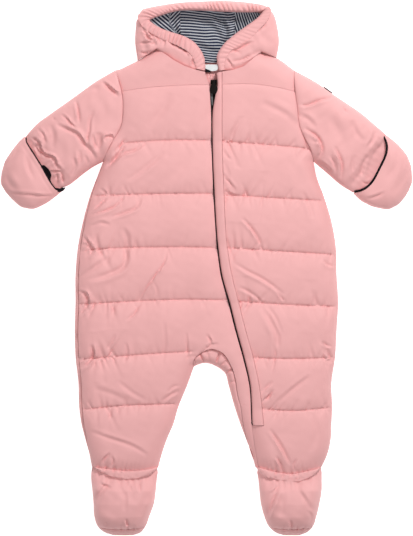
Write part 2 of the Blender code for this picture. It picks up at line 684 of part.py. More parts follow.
def add_mitt(side, collection):
    lines = [section_line(section, MITT_SHARES) for section in MITTS[side]]
    outer = [section_ring(line, section.low, section.high) for line, section in zip(lines, MITTS[side])]
    inner = [section_ring(line, low, high, MITT_WALL * 0.7)
             for line, (low, high) in zip(lines, HOLLOW_SECTIONS)]
    tube(f"mitt_{side}", outer, inner, False, "shell", collection)
    add_binding(side, lines, outer[0], inner[0], collection)


def add_binding(side, lines, outer_ring, inner_ring, collection):
    """Elastic binding: a narrow band that follows the front of the mitt's mouth."""
    near, away = lines[0], lines[0] - lines[1]
    away = away / np.linalg.norm(away, axis=1)[:, None]
    plan = np.stack([near + away * BINDING["gap"], near + away * BINDING["width"]])
    count = len(near)
    top = np.array([point[2] for point in outer_ring[:count]]) + BINDING["lift"]
    base = np.array([point[2] for point in inner_ring[:count]]) + BINDING["lift"]
    panel(f"binding_{side}", plan, np.stack([top, top]), np.stack([base, base]), "binding", collection)


def foot_grid(side, shares):
    inner, outer = f"{side}_in", f"{side}_out"
    rows = []
    for foot in reversed(FEET):
        first, last = sorted((getattr(foot, inner), getattr(foot, outer)))
        rows.append([(first + share * (last - first), foot.y) for share in shares])
    return np.array(rows)


def foot_outline(plan):
    return [row[0] for row in plan[::-1]] + [row[-1] for row in plan]


def foot_height(points, outline):
    inwards = distance_to(points, outline)
    toe_first = FEET[::-1]
    full = np.interp(points[..., 1], [foot.y for foot in toe_first], [foot.high for foot in toe_first])
    return SEAM_HEIGHT + EDGE + (full - SEAM_HEIGHT - EDGE) * rounding(inwards, ROUND_ABOVE * 0.8)


def add_foot(side, collection):
    plan = foot_grid(side, FOOT_SHARES)
    outline = foot_outline(plan)
    height = foot_height(plan, outline)
    flat = np.full(height.shape, SEAM_HEIGHT + SEAM_GAP / 2)
    upper = cells_between(plan.shape, 0, len(FOOT_SHARES) - 1, (TOE_SEAM_ROW, len(FEET) - 1))
    panel(f"bootie_{side}", plan, height, flat, "shell", collection, upper)
    under = (SEAM_HEIGHT - EDGE) * (1 - rounding(distance_to(plan, outline), ROUND_BELOW * 0.8))
    everywhere = np.ones((len(FEET) - 1, len(FOOT_SHARES) - 1), bool)
    panel(f"sole_{side}", plan, flat - SEAM_GAP, under, "shell", collection, everywhere,
          everywhere & ~upper, height)
    add_hem(side, outline, collection)


def add_hem(side, outline, collection):
    """The leg's gathered hem, lying over the upper."""
    stitch = STITCH_LINES[0]
    first, last = sorted(look_up(FEET, stitch - HEM_DEPTH, f"{side}_{edge}") for edge in ("in", "out"))
    rows = []
    for share in (0.0, 0.5, 1.0):
        depth = [share * (HEM_DEPTH + HEM_SAG * math.sin(math.pi * across)) for across in HEM_SHARES]
        rows.append([(first + across * (last - first), stitch - SEAM_GAP - drop)
                     for across, drop in zip(HEM_SHARES, depth)])
    plan = np.array(rows)
    below = foot_height(plan, outline) + HEM_LIFT
    gathers = np.array([HEM_GATHER * (-1) ** k for k in range(len(HEM_SHARES))])
    wall = HEM_WALL * rounding(np.minimum(np.array(HEM_SHARES), 1 - np.array(HEM_SHARES)) + 0.08, 0.3)
    top = below + wall + gathers * np.array((0.3, 1.0, 1.0))[:, None]
    panel(f"hem_{side}", plan, top, below, "shell", collection)


def add_hood(collection):
    add_rim(collection)
    for side in HOOD_SIDES:
        add_hood_side(side, collection)
    add_hood_back(collection)
    for name, columns in LINING_PANELS.items():
        add_lining(name, columns, collection)


def silhouette():
    """The hood's free edge, from the right shoulder over the crown to the left."""
    first, last = HOOD_SIDES["right"][1], HOOD_SIDES["left"][0]
    right = [(row.out_x, row.out_y) for row in HOOD[6:first]]
    crown = [(row.seam_x, row.seam_y) for row in HOOD[first:last]]
    left = [(row.out_x, row.out_y) for row in HOOD[last : last + 4]]
    return right + crown + left


def hood_height(points):
    inwards = distance_to(points, silhouette())
    return HOOD_EDGE + SHELL + (RIM_HEIGHT - HOOD_EDGE - SHELL) * rounding(inwards, ROUND_BELOW)


def add_rim(collection):
    rim = np.array([(row.rim_x, row.rim_y) for row in HOOD], float)
    seam = np.array([(row.seam_x, row.seam_y) for row in HOOD], float)
    plan = np.stack([rim, rim * 0.55 + seam * 0.45, seam])
    top = hood_height(plan)
    top[0] = np.minimum(top[0], RIM_HEIGHT - 3.0)
    panel("hood_rim", plan, top, top - SHELL, "shell", collection)


def add_hood_side(side, collection):
    first, last = HOOD_SIDES[side]
    seam = np.array([(row.seam_x, row.seam_y) for row in HOOD[first:last]], float)
    out = np.array([(row.out_x, row.out_y) for row in HOOD[first:last]], float)
    plan = np.stack([seam, (seam + out) / 2, out])
    top = hood_height(plan)
    panel(f"hood_side_{side}", plan, top, top - SHELL, "shell", collection)


def add_hood_back(collection):
    bottom = {row.column: (row.x, row.back) for row in TOP_EDGE}
    rows = [
        [bottom[row.column] for row in CROWN],
        [(row.middle_x, CROWN_MIDDLE) for row in CROWN],
    ]
    for share in (0.5, 0.78, 1.0):
        rows.append([(row.middle_x + share * (row.top_x - row.middle_x),
                      CROWN_MIDDLE + share * (row.top_y - CROWN_MIDDLE)) for row in CROWN])
    plan = np.array(rows, float)
    base = (HOOD_EDGE - SHELL - SEAM_GAP) * (1 - rounding(distance_to(plan, silhouette()), ROUND_BELOW))
    panel("hood_back", plan, base + SHELL, base, "shell", collection)


def add_lining(name, columns, collection):
    rows = [[(column.x, column.bottom + share * (column.top - column.bottom)) for column in columns]
            for share in (0.0, 0.5, 1.0)]
    plan = np.array(rows, float)
    base = np.array([[column.height for column in columns]] * 3, float)
    panel(name, plan, base + LINING, base, "lining", collection)


def add_neck(collection):
    """Chin guard over the zip's end, and the blank label and tape inside the neck."""
    rest = SEAM_HEIGHT + SEAM_GAP
    pleats = np.array([0, PLEAT, 0, PLEAT, 0, PLEAT, 0])
    across = np.linspace(0, 1, len(pleats))
    plan = np.array([[(row.right + share * (row.left - row.right), row.y) for share in across]
                     for row in CHIN_GUARD])
    top = np.array([row.high + pleats * row.pleated for row in CHIN_GUARD])
    panel("chin_guard", plan, top, np.full(top.shape, ZIP_TOP + SEAM_GAP), "shell", collection)

    label = NECK_LABEL
    across = np.linspace(0, 1, 6)
    x = label["left"] + across * (label["right"] - label["left"])
    low = label["high"] - (label["high"] - label["low"]) * np.sqrt(across)
    plan = np.array([[(a, b) for a, b in zip(x, low)], [(a, label["top"]) for a in x]])
    base = np.full(plan.shape[:2], rest)
    panel("neck_label", plan, base + label["wall"], base, "label", collection)

    tape = NECK_TAPE
    x = tape["left"] + np.linspace(0, 1, 4) * (tape["right"] - tape["left"])
    share = (x - label["left"]) / (label["right"] - label["left"])
    high = label["high"] - (label["high"] - label["low"]) * np.sqrt(share) - SEAM_GAP
    low = [(a, tape["bottom"] - 0.6) for a in x]
    plan = np.array([low, [(a, max(b, tape["bottom"] + 0.4)) for a, b in zip(x, high)]])
    base = np.full(plan.shape[:2], rest)
    panel("neck_tape", plan, base + tape["wall"], base, "binding", collection)


def add_sleeve_tab(collection):
    start, end = np.array(SLEEVE_TAB["start"]), np.array(SLEEVE_TAB["end"])
    along = (end - start) / np.linalg.norm(end - start)
    outward = np.array((-along[1], along[0]))
    away = outward * SLEEVE_TAB["reach"]
    plan = np.array([[start, end], [start + away, end + away]])
    base = np.full(plan.shape[:2], SEAM_HEIGHT)
    panel("sleeve_tab", plan, base + SLEEVE_TAB["wall"], base, "binding", collection)


def box_mesh(centre, size):
    shape = bmesh.new()
    bmesh.ops.create_cube(shape, size=1.0)
    bmesh.ops.scale(shape, vec=[side * MM for side in size], verts=shape.verts)
    bmesh.ops.translate(shape, vec=[place * MM for place in centre], verts=shape.verts)
    return shape


def add_box(name, centre, size, slot, collection):
    shape = box_mesh(centre, size)
    mesh_data = bpy.data.meshes.new(name)
    shape.to_mesh(mesh_data)
    shape.free()
    return add_object(name, mesh_data, slot, collection)


def add_bar(name, centre, radius, length, slot, collection, sides=16):
    """A round bar along X."""
    shape = bmesh.new()
    bmesh.ops.create_cone(shape, cap_ends=True, segments=sides, radius1=radius * MM, radius2=radius * MM,
                          depth=length * MM)
    for vertex in shape.verts:
        vertex.co = (vertex.co.z, vertex.co.x, vertex.co.y)
    bmesh.ops.translate(shape, vec=[place * MM for place in centre], verts=shape.verts)
    bmesh.ops.recalc_face_normals(shape, faces=shape.faces)
    mesh_data = bpy.data.meshes.new(name)
    shape.to_mesh(mesh_data)
    shape.free()
    return add_object(name, mesh_data, slot, collection)


def combine(target, other, operation):
    step = target.modifiers.new(f"{operation}_{other.name}".lower(), "BOOLEAN")
    step.operation = operation
    step.object = other
    step.solver = "EXACT"
    other.hide_render = True
    other.display_type = "WIRE"


def add_slider(collection, cutters):
    """The slider's body, with two lugs that carry the pull's pin."""
    data = SLIDER
    height = data["top"] - data["base"]
    body = add_box("zip_slider", (data["x"], data["y"], data["base"] + height / 2),
                   (data["width"], data["length"], height), "zip", collection)
    taper = body.data
    for vertex in taper.vertices:
        if vertex.co.y < data["y"] * MM:
            vertex.co.x = data["x"] * MM + (vertex.co.x - data["x"] * MM) * data["taper"]
    half = data["width"] / 2 - data["lug"] / 2
    top = PIN["z"] + data["lug_rise"]
    for turn in (-1, 1):
        lug = add_box(f"lug_{turn + 2}", (data["x"] + turn * half, PIN["y"], (data["top"] - 1 + top) / 2),
                      (data["lug"], data["lug_length"], top - data["top"] + 1), "zip", cutters)
        combine(body, lug, "UNION")
    length = data["width"] - data["lug"] / 2
    pin = add_bar("pin", (data["x"], PIN["y"], PIN["z"]), PIN["radius"], length, "zip", cutters)
    combine(body, pin, "UNION")


def add_pull(collection, cutters):
    """Teardrop pull, narrow at its eye. The object's origin is on the pin's axis."""
    data = PULL
    far = data["length"] - data["wide"]
    lean = math.asin((data["wide"] - data["narrow"]) / far)
    outline = [(data["narrow"] * math.cos(turn), data["narrow"] * math.sin(turn))
               for turn in np.linspace(lean, math.pi - lean, 7)]
    outline += [(data["wide"] * math.cos(turn), -far + data["wide"] * math.sin(turn))
                for turn in np.linspace(math.pi - lean, 2 * math.pi + lean, 15)]
    shape = bmesh.new()
    for level in (-1, 1):
        ring = [shape.verts.new((x * MM, y * MM, level * data["thick"] / 2 * MM)) for x, y in outline]
        shape.faces.new(ring if level > 0 else ring[::-1])
    shape.verts.ensure_lookup_table()
    count = len(outline)
    for k in range(count):
        after = (k + 1) % count
        shape.faces.new([shape.verts[index] for index in (k, after, count + after, count + k)])
    bmesh.ops.recalc_face_normals(shape, faces=shape.faces)
    mesh_data = bpy.data.meshes.new("pull_tab")
    shape.to_mesh(mesh_data)
    shape.free()
    pull = add_object("pull_tab", mesh_data, "zip", collection)
    pivot = (SLIDER["x"], PIN["y"], PIN["z"])
    pull.location = [value * MM for value in pivot]
    width = SLIDER["width"] - 2 * SLIDER["lug"] - 2 * data["gap"]
    eye = add_bar("eye", pivot, data["eye"], width, "zip", cutters)
    bore = add_bar("bore", pivot, data["bore"], width + 6, "zip", cutters)
    combine(pull, eye, "UNION")
    combine(pull, bore, "DIFFERENCE")


def main():
    clear_scene()
    suit = bpy.data.collections.new("baby_snowsuit")
    cutters = bpy.data.collections.new("cutters")
    for collection in (suit, cutters):
        bpy.context.scene.collection.children.link(collection)
    armholes = add_body(suit)
    for side in ("right", "left"):
        add_sleeve(side, armholes[side], suit)
        add_mitt(side, suit)
        add_foot(side, suit)
    add_hood(suit)
    add_neck(suit)
    add_sleeve_tab(suit)
    add_slider(suit, cutters)
    add_pull(suit, cutters)


main()
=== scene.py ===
# A baby's quilted snowsuit laid on its back: the finished cloth, its seams and its trims.
# Tables are in millimetres. Right and left are the wearer's: right is at -X, the hood at +Y.

import math
from collections import namedtuple

import bmesh
import bpy
import numpy as np
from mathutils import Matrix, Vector
from mathutils.geometry import delaunay_2d_cdt


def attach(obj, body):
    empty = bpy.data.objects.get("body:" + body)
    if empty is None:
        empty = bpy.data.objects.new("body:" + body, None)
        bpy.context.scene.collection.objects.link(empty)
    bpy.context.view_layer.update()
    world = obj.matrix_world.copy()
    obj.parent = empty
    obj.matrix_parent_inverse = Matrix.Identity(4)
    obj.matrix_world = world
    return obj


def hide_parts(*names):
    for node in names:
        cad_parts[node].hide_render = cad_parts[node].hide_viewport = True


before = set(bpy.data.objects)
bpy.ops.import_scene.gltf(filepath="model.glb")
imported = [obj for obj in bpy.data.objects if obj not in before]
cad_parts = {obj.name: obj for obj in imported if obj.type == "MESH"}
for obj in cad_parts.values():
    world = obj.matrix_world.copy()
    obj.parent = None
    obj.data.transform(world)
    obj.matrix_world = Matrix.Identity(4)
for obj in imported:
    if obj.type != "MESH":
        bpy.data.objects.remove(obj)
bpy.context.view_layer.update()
mm = 0.001
made = {}

Side = namedtuple("Side", "y right left strip")  # strip: from the right edge to the side seam
Inner = namedtuple("Inner", "y rightLeg leftLeg")
Zip = namedtuple("Zip", "y middle half flap")
Crease = namedtuple("Crease", "places width depth lean")  # lean: share of the ridge beside the trough

body = {
    "seamPlane": 15.0,  # where back and front lie on each other
    "puffTop": 33.0,
    "yokeTop": 30.5,
    "groove": 4.6,  # how deep the quilting pulls the puffs down
    "grooveReach": 12.0,
    "stitchCut": 1.3,
    "edgeAbove": 27.0,  # how far in from the outline the front is rounded
    "edgeBelow": 20.0,
    "zipDip": 4.5,
    "zipReach": 9.0,
    "yokeSide": 235.0,  # where the yoke's seam meets the armholes
    "zipEnd": -209.0,
    "flapRise": 1.6,
    "grid": 1.9,
    "gap": 0.3,
    "sides": (
        Side(-265, -153, 154, 0.6), Side(-250, -156, 161, 0.8), Side(-228, -162, 166, 2.4),
        Side(-208, -167, 167, 4.0), Side(-187, -170, 168, 4.6), Side(-155, -171, 167, 4.6),
        Side(-118, -175, 172, 5.0), Side(-82, -176, 174, 5.0), Side(-46, -175, 176, 5.0),
        Side(-10, -175, 174, 5.0), Side(26, -172, 173, 4.4), Side(62, -165, 167, 3.6),
        Side(98, -155, 156, 2.4), Side(122, -146, 147, 1.2), Side(142, -138, 143, 0.6),
    ),
    "armholes": (
        Side(142, -138, 143, 0), Side(157, -131, 139, 0), Side(172, -123, 131, 0), Side(188, -114, 124, 0),
        Side(212, -111, 121, 0), Side(235, -113, 118, 0), Side(250, -117, 117, 0), Side(264, -122, 117, 0),
    ),
    "legs": (
        Inner(-265, -64, 65), Inner(-250, -60, 61), Inner(-229, -53, 53), Inner(-208, -44, 45),
        Inner(-187, -38, 38), Inner(-155, -25, 29), Inner(-132, -17, 25),
    ),
    "arch": ((-17, -132), (-10, -128.5), (0, -127), (12, -131), (25, -141), (29, -155)),
    "inseam": ((-17, -132), (-17, -124), (-9, -115), (5, -108), (20, -112), (32, -129), (38, -146),
               (42, -171), (46, -186), (48, -202), (52, -222), (58.5, -245), (65.6, -265)),
    "zip": (
        Zip(-265, 69.5, 0.4, 81), Zip(-211, 61, 0.5, 76.5), Zip(-152, 57, 0.7, 69.5),
        Zip(-118, 49, 0.9, 62), Zip(-82, 39, 1.0, 52), Zip(-46, 30, 1.0, 43), Zip(-10, 20, 0.9, 34),
        Zip(26, 15, 0.7, 28), Zip(98, 10, 0.7, 23.5), Zip(170, 7.3, 0.7, 21), Zip(212, 7.3, 1.4, 21),
        Zip(226, 8, 3.0, 21), Zip(243, 9, 5.4, 21),
    ),
    "rightShoulder": ((-122, 264), (-117, 265), (-106, 270), (-92, 276.5), (-80, 284), (-66, 292)),
    "rightNeck": ((-66, 292), (-55, 285), (-44, 277), (-30, 269.5), (-22, 266.5), (-15, 264), (-2, 261)),
    "leftNeck": ((21, 261.5), (36, 264), (49, 268.5), (61, 278.3), (73, 288)),
    "leftShoulder": ((73, 288), (93.5, 280.5), (117, 264)),
    "backNeck": ((-66, 292), (-55, 285), (-44, 277.5), (-30, 274), (-22, 273), (13, 272), (36, 273),
                 (49, 276), (73, 288)),
    "quilting": {
        "right": (((-170, 22), (-153, 24), (-60, 27.5), (16, 27)), ((-150, 96), (-60, 98.5), (12, 99)),
                  ((-109, 166), (-86, 168), (-50, 169.8), (8, 169.8)),
                  ((-172, -49), (-108, -45), (-20, -42), (32, -43)),
                  ((-172, -122), (-108, -117), (-50, -113), (-20, -111.5)),
                  ((-166, -189), (-120, -184), (-38, -181))),
        "left": (((20, 168.5), (90, 163), (136, 158.9)), ((22, 97.7), (90, 93), (152, 89.6)),
                 ((27, 26.7), (100, 22), (171, 17.7)), ((43, -44.8), (110, -49), (173, -51.6)),
                 ((62, -119.7), (110, -121), (170, -119.5)), ((72, -188), (120, -190), (164, -186))),
        "strip": (((0, -181), (47, -181), (57, -182)),),
    },
}


def lengthsAlong(line):
    # how far along the line each of its points lies
    return np.concatenate([[0], np.cumsum(np.linalg.norm(np.diff(line, axis=0), axis=1))])


def curveThrough(points, step=2.2):
    # a smooth line through the points, sampled at an even step
    p = np.array(points, float)
    if len(p) == 2:
        count = max(2, int(math.ceil(np.linalg.norm(p[1] - p[0]) / step)) + 1)
        return p[0] + np.linspace(0, 1, count)[:, None] * (p[1] - p[0])
    t = lengthsAlong(p)
    slope = np.gradient(p, t, axis=0)
    dense = np.linspace(0, t[-1], max(3, int(math.ceil(t[-1] / step)) + 1))
    k = np.clip(np.searchsorted(t, dense, side="right") - 1, 0, len(p) - 2)
    span = (t[k + 1] - t[k])[:, None]
    u = (dense - t[k])[:, None] / span
    line = (2 * u**3 - 3 * u**2 + 1) * p[k] + (u**3 - 2 * u**2 + u) * span * slope[k]
    return line + (3 * u**2 - 2 * u**3) * p[k + 1] + (u**3 - u**2) * span * slope[k + 1]


def joined(*lines):
    # one closed loop of lines that follow each other, without the doubled corners
    rows = [np.asarray(line, float) for line in lines]
    loop = [rows[0][0]]
    for line in rows:
        for place in line:
            if np.linalg.norm(place - loop[-1]) > 0.35:
                loop.append(place)
    while np.linalg.norm(loop[0] - loop[-1]) < 0.35:
        loop.pop()
    return np.array(loop)


def nearestOn(points, line):
    # distance, side (+1 to the left of the line) and distance along it, for each point
    best = np.full(len(points), np.inf)
    side, along = np.ones(len(points)), np.zeros(len(points))
    passed = 0.0
    for start, end in zip(line[:-1], line[1:]):
        way = end - start
        length = math.hypot(*way)
        if length < 1e-9:
            continue
        off = points - start
        share = np.clip((off @ way) / length**2, 0, 1)
        gap = np.hypot(off[:, 0] - share * way[0], off[:, 1] - share * way[1])
        closer = gap < best
        best[closer] = gap[closer]
        side[closer] = np.sign(way[0] * off[closer, 1] - way[1] * off[closer, 0] + 1e-12)
        along[closer] = passed + share[closer] * length
        passed += length
    return best, side, along


def distanceTo(points, *lines):
    return np.min([nearestOn(points, np.asarray(line, float))[0] for line in lines], axis=0)


def insideOf(points, loop):
    hit = np.zeros(len(points), bool)
    x, y = points[:, 0], points[:, 1]
    for (ax, ay), (bx, by) in zip(loop, np.roll(loop, -1, axis=0)):
        crosses = (ay > y) != (by > y)
        if crosses.any():
            hit ^= crosses & (x < (bx - ax) * (y - ay) / (by - ay + 1e-12) + ax)
    return hit


def rise(distance, reach):
    share = np.clip(distance / reach, 0, 1)
    return np.sqrt(1 - (1 - share) ** 2)


def domed(full, edge, reach):
    # a height brought down in a round to the plane of the seams, at a piece's edge
    return body["seamPlane"] + (full - body["seamPlane"]) * rise(edge, reach)


def softSteps(points, size, count, seed):
    # an even, smooth field of about -1 to 1, made of waves in many directions
    turn = np.random.default_rng(seed)
    field = np.zeros(len(points))
    for _ in range(count):
        angle, phase = turn.uniform(0, math.pi), turn.uniform(0, 2 * math.pi)
        length = size * turn.uniform(0.7, 1.5)
        field += np.sin((points @ (math.cos(angle), math.sin(angle))) * 2 * math.pi / length + phase)
    return field / math.sqrt(count)


def twiceArea(loop):
    # positive for a loop that runs anticlockwise
    return np.sum(loop[:, 0] * np.roll(loop[:, 1], -1) - np.roll(loop[:, 0], -1) * loop[:, 1])


def inwardOf(loop):
    # the direction into the loop at each of its points
    way = np.roll(loop, -1, axis=0) - np.roll(loop, 1, axis=0)
    way /= np.linalg.norm(way, axis=1)[:, None] + 1e-12
    return np.stack([-way[:, 1], way[:, 0]], axis=1) * (1 if twiceArea(loop) > 0 else -1)


def latticeIn(loop, spacing):
    # evenly spaced points inside the loop, each row half a step off the one before
    low, high = loop.min(axis=0), loop.max(axis=0)
    xs, ys = np.arange(low[0], high[0], spacing), np.arange(low[1], high[1], spacing * 0.866)
    gridX, gridY = np.meshgrid(xs, ys)
    gridX = gridX + (np.arange(len(ys)) % 2)[:, None] * spacing / 2
    lattice = np.stack([gridX.ravel(), gridY.ravel()], axis=1)
    return lattice[insideOf(lattice, loop)]


def fillLoop(loop, spacing, guides=(), insets=(0.6, 1.6, 3.2, 5.4)):
    # points inside a closed loop, denser at its edge and along the guides, and their triangles
    loop = np.asarray(loop, float)
    if twiceArea(loop) < 0:
        loop = loop[::-1]
    inward = inwardOf(loop)
    closed = np.vstack([loop, loop[:1]])
    rows = [loop]
    for reach in insets:
        ring = loop + inward * reach
        if reach > spacing:
            ring = ring[::2] if reach > 2 * spacing else ring
        ring = ring[insideOf(ring, loop)]
        if len(ring):
            rows.append(ring[distanceTo(ring, closed) > 0.93 * reach])
    edge = insets[-1] if len(insets) else 0.0
    kept = []
    for line in guides:
        line = np.asarray(line, float)
        run = np.gradient(line, axis=0)
        run /= np.linalg.norm(run, axis=1)[:, None] + 1e-12
        for offset in (-1.4, 0.0, 1.4):
            row = line + np.stack([-run[:, 1], run[:, 0]], axis=1) * offset
            row = row[insideOf(row, loop)]
            if len(row):
                kept.append(row[distanceTo(row, closed) > edge + 0.2])
    lattice = latticeIn(loop, spacing)
    if len(lattice):
        lattice = lattice[distanceTo(lattice, closed) > edge + spacing * 0.55]
    for line in guides:
        if len(lattice):
            lattice = lattice[distanceTo(lattice, line) > 1.4 + spacing * 0.5]
    points = np.concatenate(rows + kept + [lattice])
    count = len(loop)
    edges = [(k, (k + 1) % count) for k in range(count)]
    points, faces = triangles(points, edges, loop)
    return points, faces, count


def triangles(points, edges, loop):
    # the triangles of a point set that lie inside the loop
    found = delaunay_2d_cdt([Vector(place) for place in points], edges, [], 0, 1e-5, True)
    points = np.array([tuple(place) for place in found[0]])
    faces = np.array([list(face) for face in found[2]])
    faces = faces[insideOf(points[faces].mean(axis=1), loop)]
    return points, faces.tolist()


creaseGain = 1.8


def creaseHeight(points, creases):
    # troughs along listed lines, each with a soft ridge beside it
    height = np.zeros(len(points))
    for crease in creases:
        line = curveThrough(crease.places, 3.0)
        reach = 4.5 * crease.width
        low, high = line.min(axis=0) - reach, line.max(axis=0) + reach
        near = np.all((points > low) & (points < high), axis=1)
        if not near.any():
            continue
        gap, side, along = nearestOn(points[near], line)
        total = np.linalg.norm(np.diff(line, axis=0), axis=1).sum()
        taper = np.sin(np.pi * np.clip(along / total, 0, 1)) ** 0.6
        fade = np.exp(-((np.maximum(gap - 0.2, 0) / crease.width) ** 2))
        past = gap * side * (1 if crease.lean > 0 else -1)
        ridge = np.exp(-(((past - 1.9 * crease.width) / (1.2 * crease.width)) ** 2))
        height[near] += creaseGain * crease.depth * taper * (abs(crease.lean) * ridge - fade)
    return height


def puckerRow(line, seed, strength, near=(), spread=(3.8, 9.5)):
    # short gathers along a stitched line: place, lean, width, length and depth, uneven on purpose
    turn = np.random.default_rng(seed)
    total = np.linalg.norm(np.diff(line, axis=0), axis=1).sum()
    rows, place = [], turn.uniform(2, 6)
    while place < total:
        spot = np.array([np.interp(place, np.linspace(0, total, len(line)), line[:, k]) for k in (0, 1)])
        close = max((math.exp(-abs(spot[0] - x) / 26) for x in near), default=0)
        for side in (-1, 1):
            rows.append((place, side, turn.uniform(-0.7, 0.7) + side * 0.15, turn.uniform(1.0, 2.6),
                         turn.uniform(5, 13) * (1 + 0.8 * close),
                         strength * turn.uniform(0.1, 1.0) ** 1.4 * (0.6 + 1.2 * close)))
        place += turn.uniform(*spread) * (1 - 0.3 * close)
    return rows


def puckerHeight(gap, side, along, rows):
    height = np.zeros(len(gap))
    near = gap < 34
    g, s, a = gap[near], side[near], along[near]
    total = np.zeros(len(g))
    for place, where, lean, width, length, depth in rows:
        shape = np.exp(-(((a - place - lean * g) / (width + 0.08 * g)) ** 2))
        total -= depth * shape * np.exp(-((g / length) ** 1.3)) * (s == where)
    height[near] = total
    return height


def seamDip(gap, depth, width=1.5):
    return depth * np.exp(-gap / width)


print("plan geometry ready")


def column(rows, name):
    return [(getattr(row, name), row.y) for row in rows]


step = body["grid"]
rightSide = curveThrough(column(body["sides"], "right"), step)
leftSide = curveThrough(column(body["sides"], "left"), step)
sideSeam = curveThrough([(row.right + row.strip, row.y) for row in body["sides"]], step)
rightArmhole = curveThrough(column(body["armholes"], "right"), step)
leftArmhole = curveThrough(column(body["armholes"], "left"), step)
rightLeg = curveThrough(column(body["legs"], "rightLeg"), step)
leftLeg = curveThrough(column(body["legs"][:-1], "leftLeg"), step)
arch = curveThrough(body["arch"], step)
inseam = curveThrough(body["inseam"], step)
zipMiddle = curveThrough([(row.middle, row.y) for row in body["zip"]], step)
zipRight = curveThrough([(row.middle - row.half, row.y) for row in body["zip"]] + [(-2, 261)], step)
zipLeft = curveThrough([(row.middle + row.half, row.y) for row in body["zip"]] + [(13, 259.5)], step)
flapEdge = curveThrough([(row.flap, row.y) for row in body["zip"]] + [(21, 261.5)], step)
rightShoulder = curveThrough(body["rightShoulder"], step)
leftShoulder = curveThrough(body["leftShoulder"], step)
rightNeck = curveThrough(body["rightNeck"], step)
leftNeck = curveThrough(body["leftNeck"], step)
backNeck = curveThrough(body["backNeck"], step)
yokeSeam = curveThrough([(-113, 235), (-90, 238.5), (-49, 242.4), (0, 244), (25, 244.5), (65, 244.5),
                         (92, 240.5), (118, 235)], step)
quiltLines = {}
for side, lines in body["quilting"].items():
    quiltLines[side] = [curveThrough(line, step) for line in lines]
freeEdges = [rightSide, leftSide, np.vstack([rightLeg, arch, leftLeg[::-1]]), rightShoulder, leftShoulder]
hem = -265.0
hemTop = {
    "right": curveThrough([(-153, -265), (-130, -267.5), (-106, -270), (-84, -268.5), (-64, -265)], step),
    "left": curveThrough([(154, -265), (146, -267.5), (130, -271), (114, -274), (98, -272.5), (80, -268.5),
                          (65, -265)], step),
}


def above(line, y):
    return line[line[:, 1] >= y - 1e-6]


def below(line, y):
    return line[line[:, 1] <= y + 1e-6]


def lineX(line, y):
    order = np.argsort(line[:, 1])
    return float(np.interp(y, line[order, 1], line[order, 0]))


def seamAt(line, seam):
    # the point where a line that runs up the body meets the yoke's seam
    gaps = distanceTo(line, seam)
    return int(np.argmin(gaps))


